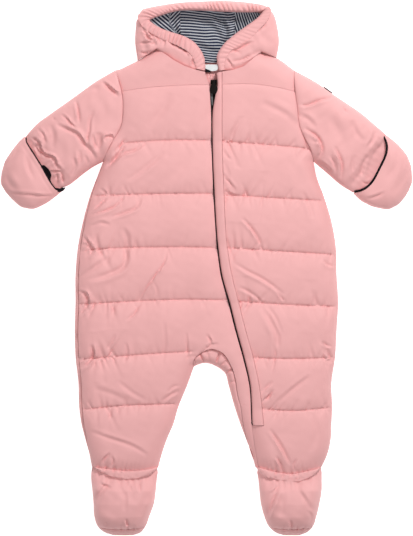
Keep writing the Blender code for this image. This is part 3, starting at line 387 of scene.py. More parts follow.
bodyCreases = (
    Crease(((-53, 23), (-54.5, 11), (-67, -8), (-84, -34), (-88, -43)), 1.2, 1.2, 0.5),
    Crease(((-87, -46), (-96, -61), (-107, -70)), 1.4, 1.1, 0.5),
    Crease(((-112, 53), (-105, 41), (-107, 23), (-108, 6), (-135, -10), (-159, -15)), 3.2, 1.5, 0.5),
    Crease(((-171, -15), (-155, -4), (-138, 8), (-128, 14)), 3.0, 1.0, 0.5),
    Crease(((-121, -88), (-126, -99), (-132, -108)), 1.6, 0.9, 0.5),
    Crease(((-165, 44), (-153, 27), (-151, 23), (-158, 15)), 1.7, 2.0, 0.6),
    Crease(((-172, 34), (-160, 30), (-150, 24)), 1.3, 1.0, 0.5),
    Crease(((-172, -30), (-160, -36), (-159, -49), (-169, -64)), 1.8, 2.1, 0.6),
    Crease(((-153, -102), (-151, -116), (-156, -125), (-168, -134)), 1.8, 2.1, 0.6),
    Crease(((-107, -100), (-105, -112), (-109, -126)), 1.5, 1.0, 0.5),
    Crease(((-27, -86), (-26, -105), (-24, -126)), 1.5, 1.0, 0.4),
    Crease(((-57, -70), (-55, -100), (-58, -128)), 2.0, 0.5, 0.4),
    Crease(((0, -88), (5, -96), (7, -104)), 1.4, 1.0, 0.5),
    Crease(((-69, -45), (-66, -30), (-72, -16)), 1.4, 0.6, 0.5),
    Crease(((-47, 232), (-60, 209), (-79, 187)), 5.0, 0.8, 0.6),
    Crease(((-14, 226), (-24, 200), (-30, 184)), 6.0, 0.6, 0.5),
    Crease(((-81, 168), (-93, 158), (-112, 151), (-130, 135)), 1.9, 1.7, 0.5),
    Crease(((-56, 154), (-70, 142), (-88, 128), (-105, 116)), 3.0, 0.9, 0.6),
    Crease(((-22, 160), (-36, 132), (-60, 106)), 7.0, 0.7, 0.6),
    Crease(((-130, 95), (-140, 86), (-156, 72)), 1.6, 1.5, 0.6),
    Crease(((-109, 95), (-121, 83), (-140, 74), (-156, 69)), 1.6, 1.4, 0.6),
    Crease(((-86, 93), (-93, 81), (-107, 74), (-128, 67)), 1.8, 1.3, 0.6),
    Crease(((-142, 106), (-134, 99), (-144, 92)), 1.4, 1.0, 0.5),
    Crease(((-152, 55), (-140, 60), (-128, 57)), 2.2, 0.8, 0.5),
    Crease(((-109, 163), (-117, 152), (-127, 140), (-134, 133)), 2.2, 2.9, -0.3),
    Crease(((-110, 169), (-117, 160), (-125, 150)), 1.5, 1.5, -0.5),
    Crease(((-107, 171), (-113, 166), (-117, 158)), 1.3, 1.2, 0.4),
    Crease(((47, 67), (61, 51), (73, 32)), 1.7, 1.3, -0.6),
    Crease(((38, 6), (52, -3), (75, -15), (92, -27), (103, -36)), 2.0, 1.2, -0.6),
    Crease(((43, -25), (58, -33), (74, -44)), 1.8, 1.0, -0.6),
    Crease(((67, -38), (74, -46), (79, -44)), 1.3, 1.0, 0.5),
    Crease(((94, -32), (100, -40), (104, -45)), 1.3, 0.9, -0.5),
    Crease(((72, -50), (85, -70), (94, -90), (92, -120)), 3.4, 1.2, -0.5),
    Crease(((78, -48), (88, -60), (101, -88)), 2.0, 0.8, -0.5),
    Crease(((88, -100), (91, -112), (90, -126), (86, -140)), 1.6, 1.0, 0.5),
    Crease(((155, 11), (162, 4), (174, 3)), 1.5, 1.4, -0.5),
    Crease(((153, -98), (160, -103), (168, -105)), 1.5, 1.3, -0.5),
    Crease(((154, -116), (163, -124), (169, -120)), 1.4, 1.3, 0.5),
    Crease(((73, 220), (106, 203), (124, 188)), 4.0, 0.8, 0.6),
    Crease(((21, 126), (28, 116), (38, 104)), 1.7, 1.1, 0.5),
    Crease(((24, 104), (33, 98), (40, 96)), 1.3, 1.4, 0.5),
    Crease(((22, 142), (27, 130), (30, 112)), 2.2, 0.7, -0.5),
    Crease(((110, 148), (124, 120), (132, 96)), 7.0, 0.6, 0.5),
    Crease(((22, 158), (26, 150), (33, 143)), 1.5, 0.9, 0.4),
    Crease(((128, 100), (138, 82), (142, 66)), 2.6, 0.9, -0.5),
    Crease(((-158, -216), (-130, -226), (-96, -238), (-78, -249)), 2.4, 0.9, 0.5),
    Crease(((-150, -160), (-124, -168), (-104, -178)), 3.4, 0.6, 0.5),
    Crease(((-118, -150), (-98, -166), (-80, -176)), 2.6, 0.6, -0.5),
    Crease(((-35, -163), (-46, -168), (-60, -178)), 1.8, 1.3, 0.5),
    Crease(((-34, -156), (-44, -158), (-52, -166)), 1.4, 0.8, 0.4),
    Crease(((74.5, -178), (81, -172), (88, -166.5)), 1.4, 1.5, 0.5),
    Crease(((72, -166), (80, -158), (88, -151)), 1.6, 1.0, -0.5),
    Crease(((82, -176), (84, -168), (90, -162)), 1.3, 1.2, -0.4),
    Crease(((96, -178), (116, -160), (140, -142)), 2.4, 0.8, 0.5),
    Crease(((84, -214), (96, -232), (106, -250), (112, -262)), 2.0, 1.6, -0.5),
    Crease(((140, -192), (146, -216), (138, -244)), 4.0, 0.7, 0.5),
    Crease(((-19, -131), (-13, -121), (-2, -108)), 1.5, 1.5, 0.5),
    Crease(((-4, -110), (4, -103), (16, -101)), 1.4, 1.1, 0.4),
    Crease(((-28, -120), (-20, -117), (-10, -119)), 1.4, 0.9, 0.4),
    Crease(((-140, -262), (-136, -254), (-128, -246)), 1.5, 1.5, 0.5),
    Crease(((-127, -266), (-124, -256), (-126, -250)), 1.4, 1.2, -0.5),
    Crease(((100, -270), (97, -258), (92, -250)), 1.5, 1.4, 0.5),
    Crease(((118, -272), (116, -262), (120, -254)), 1.4, 1.1, -0.5),
)
quiltPuckers = {}
for name, lines in quiltLines.items():
    near = {"right": (-165, -140), "left": (30, 55, 165), "strip": ()}[name]
    for k, line in enumerate(lines):
        quiltPuckers[name, k] = puckerRow(line, 40 + 7 * k + len(name), 2.3, near)


def quiltHeight(points, side):
    # how far the quilting pulls the front down, and the gathers it makes
    height = np.zeros(len(points))
    nearest = np.full(len(points), np.inf)
    for k, line in enumerate(quiltLines[side]):
        gap, where, along = nearestOn(points, line)
        nearest = np.minimum(nearest, gap)
        height += puckerHeight(gap, where, along, quiltPuckers[side, k])
    height -= body["groove"] * np.exp(-((nearest / body["grooveReach"]) ** 1.15))
    return height - body["stitchCut"] * np.exp(-((nearest / 1.1) ** 2))


hems = {
    "tightest": {"right": -132, "left": 104},  # where each leg's elastic gathers most
    "spread": 26,
    "pitch": 7.4,
}


def hemGather(x, side):
    # sharp, uneven gathers that a leg's elastic draws, from 0 to 1
    phase = x * math.pi / hems["pitch"] + 1.5 * np.sin(x / 9.1 + len(side))
    valley = (1 - np.abs(np.sin(phase))) ** 1.1
    return valley * (0.25 + 0.75 * np.exp(-(((x - hems["tightest"][side]) / hems["spread"]) ** 2)))


def hemPucker(points, gap):
    # upright gathers where the leg meets its elastic
    x = points[:, 0]
    valley = np.where(x < 0, hemGather(x - 0.2 * gap, "right"), hemGather(x + 0.2 * gap, "left"))
    return 3.4 * valley * np.exp(-((gap / 9) ** 1.6))


def bodyTop(points, side, yoke=False):
    edge = distanceTo(points, *freeEdges)
    gap, _, _ = nearestOn(points, yokeSeam)
    full = np.full(len(points), body["puffTop"])
    if yoke:
        full += (body["yokeTop"] - body["puffTop"]) * rise(gap, 12)
    else:
        full += quiltHeight(points, side) * rise(edge, 6)
    full -= 2.4 * np.exp(-gap / 8) + seamDip(gap, 0.9, 1.3)
    full -= body["zipDip"] * np.exp(-distanceTo(points, zipMiddle) / body["zipReach"])
    full += creaseHeight(points, bodyCreases) * rise(edge, 5)
    gap = distanceTo(points, *hemTop.values())
    full -= 6.5 * np.exp(-gap / 11) + hemPucker(points, gap)
    full += 0.6 * softSteps(points, 52, 9, 3) + 0.1 * softSteps(points, 15, 16, 5)
    for armhole in (rightArmhole, leftArmhole):
        gap = distanceTo(points, armhole)
        full -= 3.0 * np.exp(-gap / 9) + seamDip(gap, 1.1, 1.2)
    return domed(full, edge, body["edgeAbove"])


def bodyUnder(points):
    edge = distanceTo(points, *freeEdges)
    flat = body["seamPlane"] * (1 - rise(edge, body["edgeBelow"]))
    return np.maximum(flat, 0)


def meshObject(name, points, faces, slot, sharp=50):
    shape = bmesh.new()
    corners = [shape.verts.new([value * mm for value in place]) for place in points]
    shape.verts.ensure_lookup_table()
    for face in faces:
        if len(set(face)) > 2:
            try:
                shape.faces.new([corners[k] for k in face])
            except ValueError:
                pass
    bmesh.ops.remove_doubles(shape, verts=shape.verts, dist=0.00002)
    bmesh.ops.dissolve_degenerate(shape, edges=shape.edges, dist=0.000004)
    loose = [corner for corner in shape.verts if not corner.link_faces]
    bmesh.ops.delete(shape, geom=loose, context="VERTS")
    bmesh.ops.recalc_face_normals(shape, faces=shape.faces)
    data = bpy.data.meshes.new(name)
    shape.to_mesh(data)
    shape.free()
    data.shade_smooth()
    if sharp:
        data.set_sharp_from_angle(angle=math.radians(sharp))
    piece = bpy.data.objects.new(name, data)
    bpy.context.scene.collection.objects.link(piece)
    made[name] = (piece, slot)
    return piece


def slab(name, loop, top, under, slot="shell", **settings):
    return meshObject(name, *slabShape(loop, top, under, **settings), slot)


def walled(upper, upperZ, upperFaces, lower, lowerZ, lowerFaces, count):
    # two sheets of points and faces, joined by upright walls between their outlines
    points = [(x, y, z) for (x, y), z in zip(upper, upperZ)]
    points += [(x, y, z) for (x, y), z in zip(lower, lowerZ)]
    shift = len(upper)
    faces = upperFaces + [[k + shift for k in reversed(face)] for face in lowerFaces]
    for k in range(count):
        after = (k + 1) % count
        faces.append([k, k + shift, after + shift, after])
    return points, faces


def slabShape(loop, top, under, spacing=None, guides=(), coarse=9.0, fineUnder=False):
    # a closed shape between two heights over a plan loop, its edges joined by upright walls
    spacing = spacing or body["grid"]
    upper, faces, count = fillLoop(loop, spacing, guides)
    if fineUnder:
        lower, lowerFaces = upper.copy(), [list(face) for face in faces]
    else:
        lower, lowerFaces, _ = fillLoop(loop, coarse, (), (1.4, 4.2, 9.0))
    return walled(upper, top(upper), faces, lower, under(lower), lowerFaces, count)


def together(*shapes):
    points, faces = [], []
    for corners, polygons in shapes:
        faces += [[k + len(points) for k in face] for face in polygons]
        points += list(corners)
    return points, faces


def shrunk(loop, gap):
    # the loop moved inwards, so that two pieces at a seam don't touch
    loop = np.asarray(loop, float)
    return loop + inwardOf(loop) * gap


def level(value):
    return lambda points: np.full(len(points), float(value))


halfGap = body["gap"] / 2
innerPlane = level(body["seamPlane"] + halfGap)

zipTop = seamAt(zipRight, yokeSeam)
flapTop = seamAt(flapEdge, yokeSeam)
yokeRight = yokeSeam[yokeSeam[:, 0] < zipRight[zipTop][0] + 1]
yokeLeft = yokeSeam[yokeSeam[:, 0] > flapEdge[flapTop][0] - 1]
armRightLow, armRightHigh = below(rightArmhole, body["yokeSide"]), above(rightArmhole, body["yokeSide"])
armLeftLow, armLeftHigh = below(leftArmhole, body["yokeSide"]), above(leftArmhole, body["yokeSide"])

frontRightLoop = shrunk(joined(sideSeam, armRightLow, yokeRight, zipRight[:zipTop + 1][::-1],
                               [(68, -265.6), (65.6, -265.2)], inseam[::-1], rightLeg[::-1],
                               hemTop["right"][::-1]), halfGap)
zipFoot = lineX(zipRight, body["zipEnd"])
flapFoot = curveThrough([(zipFoot, body["zipEnd"] - 0.2), (76.3, body["zipEnd"] - 0.2)], step)
frontLeftLoop = shrunk(joined(yokeLeft, armLeftLow[::-1], leftSide[::-1],
                              hemTop["left"][hemTop["left"][:, 0] > 69],
                              below(zipRight, body["zipEnd"] - 0.6),
                              flapFoot, above(flapEdge[:flapTop + 1], body["zipEnd"])), halfGap)
slab("frontRight", frontRightLoop, lambda p: bodyTop(p, "right"), innerPlane,
     guides=quiltLines["right"] + quiltLines["strip"])
slab("frontLeft", frontLeftLoop, lambda p: bodyTop(p, "left"), innerPlane, guides=quiltLines["left"])
yokeRightLoop = shrunk(joined(yokeRight[::-1], armRightHigh, rightShoulder, rightNeck,
                              zipRight[zipTop:][::-1]), halfGap)
yokeLeftLoop = shrunk(joined(yokeLeft, armLeftHigh, leftShoulder[::-1], leftNeck[::-1],
                             flapEdge[flapTop:][::-1]), halfGap)
slab("yokeRight", yokeRightLoop, lambda p: bodyTop(p, "right", True), innerPlane)
slab("yokeLeft", yokeLeftLoop, lambda p: bodyTop(p, "left", True), innerPlane)
print("fronts and yokes made")


# the flap beside the zip, a welt with a rolled edge
def flapHeight(points):
    gapIn, gapOut = distanceTo(points, zipLeft), distanceTo(points, flapEdge)
    full = np.interp(points[:, 1], (232, 250), (body["puffTop"], body["yokeTop"] - 1.5))
    drop = body["zipDip"] * np.exp(-distanceTo(points, zipMiddle) / body["zipReach"])
    near = quiltHeight(points, "left")
    middle = rise(np.minimum(gapIn, gapOut), 3.2)
    full = full - drop + 0.35 * np.maximum(near, -6) + body["flapRise"] * middle
    full -= 1.6 * (1 - rise(gapIn, 2.4)) + 1.2 * (1 - rise(gapOut, 1.8))
    return full + 0.25 * softSteps(points, 30, 6, 9) * middle


flapLoop = shrunk(joined(above(zipLeft, body["zipEnd"]), curveThrough([(13, 259.5), (21, 261.5)], step),
                         above(flapEdge, body["zipEnd"])[::-1],
                         curveThrough([(76.5, body["zipEnd"]), (lineX(zipLeft, body["zipEnd"]),
                                                              body["zipEnd"])], step)), halfGap)
slab("zipFlap", flapLoop, flapHeight, innerPlane, spacing=1.9)


# the back, with its strip round the right side and its crescent at the crotch
stripLoop = joined(rightSide, sideSeam[::-1])
crescentLoop = joined(curveThrough(body["arch"][:-1], step), leftLeg[leftLeg[:, 1] < -142][::-1],
                      curveThrough([(65, hem), (65.6, hem)], step), inseam[::-1])
backLoop = joined(rightSide, rightArmhole, rightShoulder, backNeck, leftShoulder, leftArmhole[::-1],
                  leftSide[::-1], hemTop["left"], leftLeg, arch[::-1], rightLeg[::-1],
                  hemTop["right"][::-1])
gathers = ((-14, -127, 0.6, 3.2), (-6, -120, 0.45, 4.6), (2, -117, 0.3, 1.6), (15, -120, -0.35, 4.8),
           (22, -127, -0.9, 2.4), (29, -138, -1.1, 4.2), (33, -152, -1.3, 2.0))


def crescentHeight(points):
    # the padded roll between the legs, gathered by its elastic
    edge = distanceTo(points, freeEdges[2])
    seam = distanceTo(points, inseam)
    pleat = np.zeros(len(points))
    for x, y, turn, depth in gathers:
        across = (points[:, 0] - x) * math.cos(turn) + (points[:, 1] - y) * math.sin(turn)
        down = -(points[:, 0] - x) * math.sin(turn) + (points[:, 1] - y) * math.cos(turn)
        pleat -= depth * np.exp(-((across / 1.3) ** 2)) * np.exp(-((down / 9) ** 2))
    return body["seamPlane"] + (14.0 + pleat) * rise(edge, 11) - 2.2 * np.exp(-seam / 1.5) * rise(edge, 3)


def backTop(points):
    strip = insideOf(points, stripLoop) & (distanceTo(points, sideSeam) > 0.05)
    crescent = insideOf(points, crescentLoop) & (distanceTo(points, inseam) > 0.05)
    height = np.full(len(points), body["seamPlane"] - halfGap)
    edge = distanceTo(points, *freeEdges)
    if strip.any():
        roll = rise(edge[strip], 7.0) * (8.0 + 1.2 * softSteps(points[strip], 20, 7, 21))
        height[strip] = body["seamPlane"] + roll - seamDip(distanceTo(points[strip], sideSeam), 2.0, 1.6)
    if crescent.any():
        height[crescent] = crescentHeight(points[crescent])
    height[edge < 0.05] = body["seamPlane"]
    return height


def slabBack():
    # both sides of each seam get a row of points, so that the turned-up edge stands upright
    upper, _, count = fillLoop(backLoop, 4.2, (), (0.6, 1.7, 3.3))
    rows = [upper[:count]]
    extra = [sideSeam[1:-1] + (-0.3, 0), sideSeam[1:-1] + (0.1, 0)]
    run = np.gradient(inseam, axis=0)
    run /= np.linalg.norm(run, axis=1)[:, None]
    normal = np.stack([-run[:, 1], run[:, 0]], axis=1)
    extra += [inseam[1:-1] - normal[1:-1] * 0.3, inseam[1:-1] + normal[1:-1] * 0.1]
    closed = np.vstack([backLoop, backLoop[:1]])
    rest = upper[count:]
    for line in (sideSeam, inseam):
        rest = rest[distanceTo(rest, line) > 0.7]
    fine = latticeIn(crescentLoop, 1.7)
    rest = rest[~insideOf(rest, crescentLoop) | (distanceTo(rest, closed) < 2)]
    fine = fine[(distanceTo(fine, inseam) > 0.9) & (distanceTo(fine, closed) > 1.0)]
    extra = [row[insideOf(row, backLoop) & (distanceTo(row, closed) > 0.3)] for row in extra]
    points = np.concatenate(rows + extra + [rest, fine])
    edges = [(k, (k + 1) % count) for k in range(count)]
    upper, upperFaces = triangles(points, edges, backLoop)
    lower, lowerFaces, _ = fillLoop(backLoop, 4.2, (), (0.6, 1.7, 3.3))
    both = walled(upper, backTop(upper), upperFaces, lower, bodyUnder(lower), lowerFaces, count)
    return meshObject("back", *both, "shell")


slabBack()
print("back made")


Section = namedtuple("Section", "upper lower low high")
sleeves = {
    "top": 31.5,
    "edgeAbove": 25.0,
    "tuck": {"right": 12.0, "left": 19.0},
    "narrow": {"right": 0.05, "left": 0.09},
    "gather": {"right": 0.9, "left": 0.3},
    "right": (
        Section((-150, 247.5), (-148, 136.5), 0, 32), Section((-166, 236), (-154, 133), 0, 32),
        Section((-184, 223), (-161, 128), 0, 31), Section((-206, 207.5), (-173, 118.5), 0, 30),
        Section((-228, 191), (-183, 111), 1, 28), Section((-238.5, 179.5), (-191, 107.5), 5.5, 23),
    ),
    "left": (
        Section((150, 245.5), (152, 134), 0, 32), Section((166, 234), (158, 129), 0, 32),
        Section((184, 222), (167, 121), 0, 32), Section((206, 207), (181, 109.5), 0, 31),
        Section((228, 188.4), (190, 104), 1, 28), Section((236.8, 181), (195, 101), 5.5, 23),
    ),
    "rightCreases": (
        Crease(((-140, 249), (-130, 240), (-122, 233), (-116, 228)), 1.9, 2.4, 0.6),
        Crease(((-160, 236), (-152, 240), (-142, 238)), 3.6, 1.3, 0.4),
        Crease(((-199, 190), (-185, 184), (-174, 179), (-163, 165), (-149, 148), (-147, 140)),
               2.3, 2.0, 0.6),
        Crease(((-175, 226), (-171, 211), (-169, 192)), 1.6, 1.5, -0.6),
        Crease(((-187, 219), (-184, 213)), 1.2, 1.1, 0.5),
        Crease(((-193, 204), (-184, 196), (-180, 191), (-172, 185)), 1.4, 1.4, 0.6),
        Crease(((-205, 204), (-203, 198), (-200, 197)), 1.2, 1.0, 0.5),
        Crease(((-150, 209), (-155, 197), (-156, 184), (-158, 167), (-148, 154)), 1.8, 1.4, 0.5),
        Crease(((-142, 180), (-143, 167), (-147, 156)), 4.2, 2.3, 0.4),
        Crease(((-152, 178), (-149, 168), (-146, 160)), 1.4, 1.0, 0.5),
        Crease(((-135, 167), (-134, 173), (-126, 175), (-124, 169)), 1.4, 1.8, 0.5),
        Crease(((-177, 147), (-174, 136), (-180, 122)), 2.2, 1.2, 0.5),
        Crease(((-169, 157), (-168, 143), (-171, 132)), 2.2, 1.3, -0.5),
        Crease(((-162, 150), (-158, 140), (-160, 130)), 1.7, 1.1, 0.5),
        Crease(((-235, 175), (-224, 167), (-220, 155), (-216, 151), (-204, 146), (-199, 136), (-192, 129)),
               1.6, 2.2, 0.6),
        Crease(((-225, 186), (-218, 178), (-214, 166)), 1.6, 1.3, 0.5),
        Crease(((-229, 166), (-226, 158), (-221, 150)), 1.3, 1.3, -0.4),
        Crease(((-209, 129), (-192, 128)), 1.1, 1.6, 0.5),
        Crease(((-200, 127), (-199, 118), (-200, 111)), 1.1, 1.3, 0.5),
        Crease(((-193, 127), (-191, 110)), 1.2, 1.8, -0.5),
        Crease(((-209, 192), (-204, 178), (-206, 160)), 3.2, 0.9, 0.5),
    ),
    "leftCreases": (
        Crease(((123, 217), (129, 216), (151, 223), (171, 228)), 1.7, 1.6, -0.5),
        Crease(((182, 216), (184, 210), (188, 206)), 1.5, 1.1, 0.5),
        Crease(((130, 186), (149, 172), (153.5, 154), (146, 144)), 1.9, 2.2, -0.5),
        Crease(((140, 168.5), (147, 167.5), (152, 164)), 1.6, 0.7, -0.5),
        Crease(((171, 161), (180, 138), (178.5, 118)), 1.9, 2.0, -0.5),
        Crease(((164, 150), (170, 138), (172, 126)), 1.7, 1.2, -0.5),
        Crease(((146, 142), (156, 137), (167, 126)), 1.8, 3.4, 0.3),
        Crease(((192, 196), (199, 180), (208, 168)), 3.4, 0.9, 0.5),
        Crease(((226, 186), (222, 172), (214, 160)), 2.0, 1.1, -0.5),
        Crease(((214, 150), (208, 136), (207, 120)), 2.2, 1.1, 0.5),
        Crease(((198, 150), (194, 136), (196, 122)), 2.6, 0.8, -0.5),
        Crease(((206, 116), (214, 112), (222, 116)), 1.4, 1.2, 0.5),
        Crease(((156, 205), (176, 180), (190, 152)), 6.0, 0.8, 0.5),
        Crease(((120, 205), (134, 198), (146, 186)), 3.0, 0.9, 0.5),
    ),
}


def sleeveParts(side):
    rows = sleeves[side]
    sign = -1 if side == "right" else 1
    armhole = rightArmhole if side == "right" else leftArmhole
    upper = curveThrough([armhole[-1]] + [row.upper for row in rows], step)
    lower = curveThrough([armhole[0]] + [row.lower for row in rows], step)
    way = np.array([rows[-1].upper[1] - rows[-1].lower[1], rows[-1].lower[0] - rows[-1].upper[0]], float)
    way *= sign / np.linalg.norm(way)
    up, low = np.array(rows[-1].upper, float), np.array(rows[-1].lower, float)
    inUp = up + way * sleeves["tuck"][side] + (low - up) * sleeves["narrow"][side]
    inLow = low + way * sleeves["tuck"][side] - (low - up) * sleeves["narrow"][side]
    return armhole, upper, lower, inUp, inLow


def makeSleeve(side):
    rows = sleeves[side]
    armhole, upper, lower, inUp, inLow = sleeveParts(side)
    tipLine = curveThrough([upper[-1], (upper[-1] + inUp) / 2, inUp], step)
    footLine = curveThrough([inLow, (lower[-1] + inLow) / 2, lower[-1]], step)
    loop = joined(armhole, upper, tipLine, curveThrough([inUp, inLow], step), footLine, lower[::-1])
    centres = [(np.array(row.upper, float) + row.lower) / 2 for row in rows]
    middle = np.array([(armhole[0] + armhole[-1]) / 2] + centres + [(inUp + inLow) / 2])
    reach = lengthsAlong(middle)
    highs = [sleeves["top"]] + [row.high for row in rows] + [18.0]
    lows = [0.0] + [row.low for row in rows] + [7.5]
    edges = [np.vstack([upper, tipLine]), np.vstack([lower, footLine[::-1]])]
    cuff = np.array([rows[-1].upper, rows[-1].lower], float)

    def top(points):
        edge = distanceTo(points, *edges)
        along = nearestOn(points, middle)[2]
        full = np.interp(along, reach, highs)
        gap = distanceTo(points, armhole)
        full -= 2.6 * np.exp(-gap / 9) + seamDip(gap, 1.2, 1.2)
        full += creaseHeight(points, sleeves[side + "Creases"])
        full += 0.6 * softSteps(points, 40, 7, 31 + len(side)) + 0.25 * softSteps(points, 15, 8, 37)
        back = distanceTo(points, cuff)
        across = (points - cuff[0]) @ (cuff[1] - cuff[0]) / np.linalg.norm(cuff[1] - cuff[0])
        pleat = np.sin(across * 2 * math.pi / 8.2 + 1.7 * np.sin(across / 9.0))
        full += (sleeves["gather"][side] * pleat - 0.6) * np.exp(-((back / 13) ** 1.6))
        return domed(full, edge, sleeves["edgeAbove"])

    def under(points):
        edge = distanceTo(points, *edges)
        low = np.interp(nearestOn(points, middle)[2], reach, lows)
        return low + (body["seamPlane"] - low) * (1 - rise(edge, body["edgeBelow"]))

    name = "sleeve" + side.capitalize()
    slab(name, shrunk(loop, halfGap), top, under, coarse=5.0)
    return top


sleeveTop = {side: makeSleeve(side) for side in ("right", "left")}


mitts = {
    "count": 46,  # points across the top of a ring
    "edgeAbove": 23,
    "edgeBelow": 18,
    "lip": ((0, 0.05, 0.1, 0.5, 0.66, 0.83, 0.93, 0.98, 1), (0, 0.17, 0.23, 0.37, 0.51, 0.61, 0.6, 0.5, 0)),
    "right": (
        Section((-243, 176), (-190.5, 104.5), 0, 27.5), Section((-251, 168.5), (-201, 95.5), 0, 28.6),
        Section((-260, 157), (-214, 86), 0, 29.5), Section((-269.5, 143), (-231, 78), 0, 29),
        Section((-273.5, 128), (-248, 81), 0, 25.5), Section((-274.8, 117), (-260, 92), 1, 22),
        Section((-274, 111), (-268, 101), 5, 20),
    ),
    "left": (
        Section((237, 180), (196.5, 99), 0, 27.5), Section((246, 173), (206, 89.5), 0, 28.6),
        Section((256, 165), (222, 81.5), 0, 29.5), Section((268, 151), (243, 77.5), 0, 28.5),
        Section((273.5, 136), (257, 85), 0, 25.5), Section((274.8, 122), (266, 96), 1, 22),
        Section((274.5, 114), (270.5, 104), 5, 20),
    ),
    "bow": {"right": (15, 7, 2, 2, 1, 0, 0), "left": (16, 12, 7.5, 3, 1, 0, 0)},
    "hollow": ((0.0, 5.0, 22.5), (6.0, 6.5, 21.0), (12.0, 9.0, 19.0), (15.0, 13.5, 16.5)),
    "rightCreases": (
        Crease(((-266, 101), (-240, 98), (-212, 96), (-196, 98)), 1.3, 1.3, 0.8),
        Crease(((-240, 152), (-237, 134), (-230, 118)), 2.2, 1.0, -0.5),
        Crease(((-268, 136), (-258, 146), (-250, 158)), 2.6, 1.5, 0.5),
        Crease(((-268, 124), (-262, 112), (-254, 104)), 4.0, 1.2, 0.5),
    ),
    "leftCreases": (
        Crease(((212, 92), (224, 95), (238, 101)), 1.5, 1.2, 0.7),
        Crease(((254, 156), (252, 136), (240, 118)), 4.0, 0.8, 0.5),
        Crease(((266, 130), (258, 112), (246, 98)), 4.0, 0.7, -0.5),
    ),
}


def ringRow(up, low, bow, sign, count):
    # places across one section line, crowded towards its two ends
    u = np.sin(np.linspace(-1, 1, count) * math.pi / 2 * 0.92) / math.sin(math.pi / 2 * 0.92)
    up, low = np.array(up, float), np.array(low, float)
    way = up - low
    normal = np.array([-way[1], way[0]]) / (np.linalg.norm(way) + 1e-9) * sign
    share = (1 - u) / 2
    shape = np.interp(share, *mitts["lip"]) if sign > 0 else 1 - u**4
    return low + (u[:, None] + 1) / 2 * way + normal * (bow * shape)[:, None], u


def loft(name, rings, slot):
    # a closed skin over rings of equal count, capped at both ends
    rings = [np.asarray(ring, float) for ring in rings]
    count = len(rings[0])
    points = np.vstack(rings).tolist()
    faces = []
    for row in range(len(rings) - 1):
        for k in range(count):
            after = (k + 1) % count
            start = row * count
            faces.append([start + k, start + after, start + count + after, start + count + k])
    for row in (0, len(rings) - 1):
        ring = list(range(row * count, row * count + count))
        half = count // 2
        for k in range(half - 1):
            a, b = ring[k], ring[k + 1]
            c, d = ring[count - 1 - k - 1], ring[count - 1 - k]
            faces.append([a, b, c, d])
    return meshObject(name, points, faces, slot)


def makeMitt(side):
    rows, sign = mitts[side], (1 if side == "right" else -1)
    count = mitts["count"]
    share = np.linspace(0, 1, len(rows))
    tall = curveThrough([row.upper for row in rows], 2.0)
    t = np.linspace(0, 1, len(tall)) ** 0.9
    uppers = np.stack([np.interp(t, share, [row.upper[k] for row in rows]) for k in (0, 1)], axis=1)
    lowers = np.stack([np.interp(t, share, [row.lower[k] for row in rows]) for k in (0, 1)], axis=1)
    for border in (uppers, lowers):
        for _ in range(3):
            border[1:-1] = (border[:-2] + 2 * border[1:-1] + border[2:]) / 4
    bows = np.interp(t, share, mitts["bow"][side])
    lows = np.interp(t, share, [row.low for row in rows])
    highs = np.interp(t, share, [row.high for row in rows])
    mouth = ringRow(uppers[0], lowers[0], bows[0], sign, 60)[0]
    tip = np.vstack([uppers, lowers[::-1]])
    rings = []

    def height(points, high):
        edge = distanceTo(points, tip)
        gap, _, along = nearestOn(points, mouth)
        full = high + creaseHeight(points, mitts[side + "Creases"])
        full += 0.5 * softSteps(points, 34, 6, 51)
        if side == "right":
            rib = np.sin(along * 2 * math.pi / 3.1)
            full += 0.4 * rib * np.exp(-((gap / 4.6) ** 4)) - 0.8 * np.exp(-(((gap - 5.4) / 1.0) ** 2))
        return domed(full, edge, mitts["edgeAbove"])

    def ring(up, low, bow, lowZ, highZ, flat=None):
        line, u = ringRow(up, low, bow, sign, count)
        if flat is None:
            topZ = height(line, highZ)
        else:
            crown = np.sqrt(np.clip(1 - np.abs(u) ** 5, 0, 1))
            topZ = body["seamPlane"] + (highZ - body["seamPlane"]) * crown
        underLine = line[::-1][1:-1]
        edge = distanceTo(underLine, tip) if flat is None else (1 - np.abs(u[::-1][1:-1])) * 60
        underZ = lowZ + (body["seamPlane"] - lowZ) * (1 - rise(edge, mitts["edgeBelow"]))
        around = [(x, y, z) for (x, y), z in zip(line, topZ)]
        return around + [(x, y, z) for (x, y), z in zip(underLine, underZ)]

    way = np.array([uppers[0][1] - lowers[0][1], lowers[0][0] - uppers[0][0]])
    way *= (-1 if side == "right" else 1) / np.linalg.norm(way)
    for depth, lowZ, highZ in reversed(mitts["hollow"]):
        squeeze = 0.055 + 0.006 * depth
        up = uppers[0] + (lowers[0] - uppers[0]) * squeeze + way * depth
        low = lowers[0] - (lowers[0] - uppers[0]) * squeeze + way * depth
        rings.append(ring(up, low, bows[0], lowZ, highZ, True))
    lip = ring(uppers[0] + (lowers[0] - uppers[0]) * 0.02, lowers[0] - (lowers[0] - uppers[0]) * 0.02,
               bows[0], 1.8, 25.8, True)
    rings.append([(x - way[0] * 0.4, y - way[1] * 0.4, z) for x, y, z in lip])
    for k in range(len(t)):
        rings.append(ring(uppers[k], lowers[k], bows[k], lows[k], highs[k]))
    loft("mitt" + side.capitalize(), rings, "shell")
    inset = ringRow(uppers[0] + (lowers[0] - uppers[0]) * 0.03, lowers[0] - (lowers[0] - uppers[0]) * 0.03,
                    bows[0], sign, 60)[0] - way * 0.9
    topZ = height(mouth + way * 0.6, highs[0]) + 0.2
    return inset, np.maximum(topZ, 16), way


mouths = {side: makeMitt(side) for side in ("right", "left")}


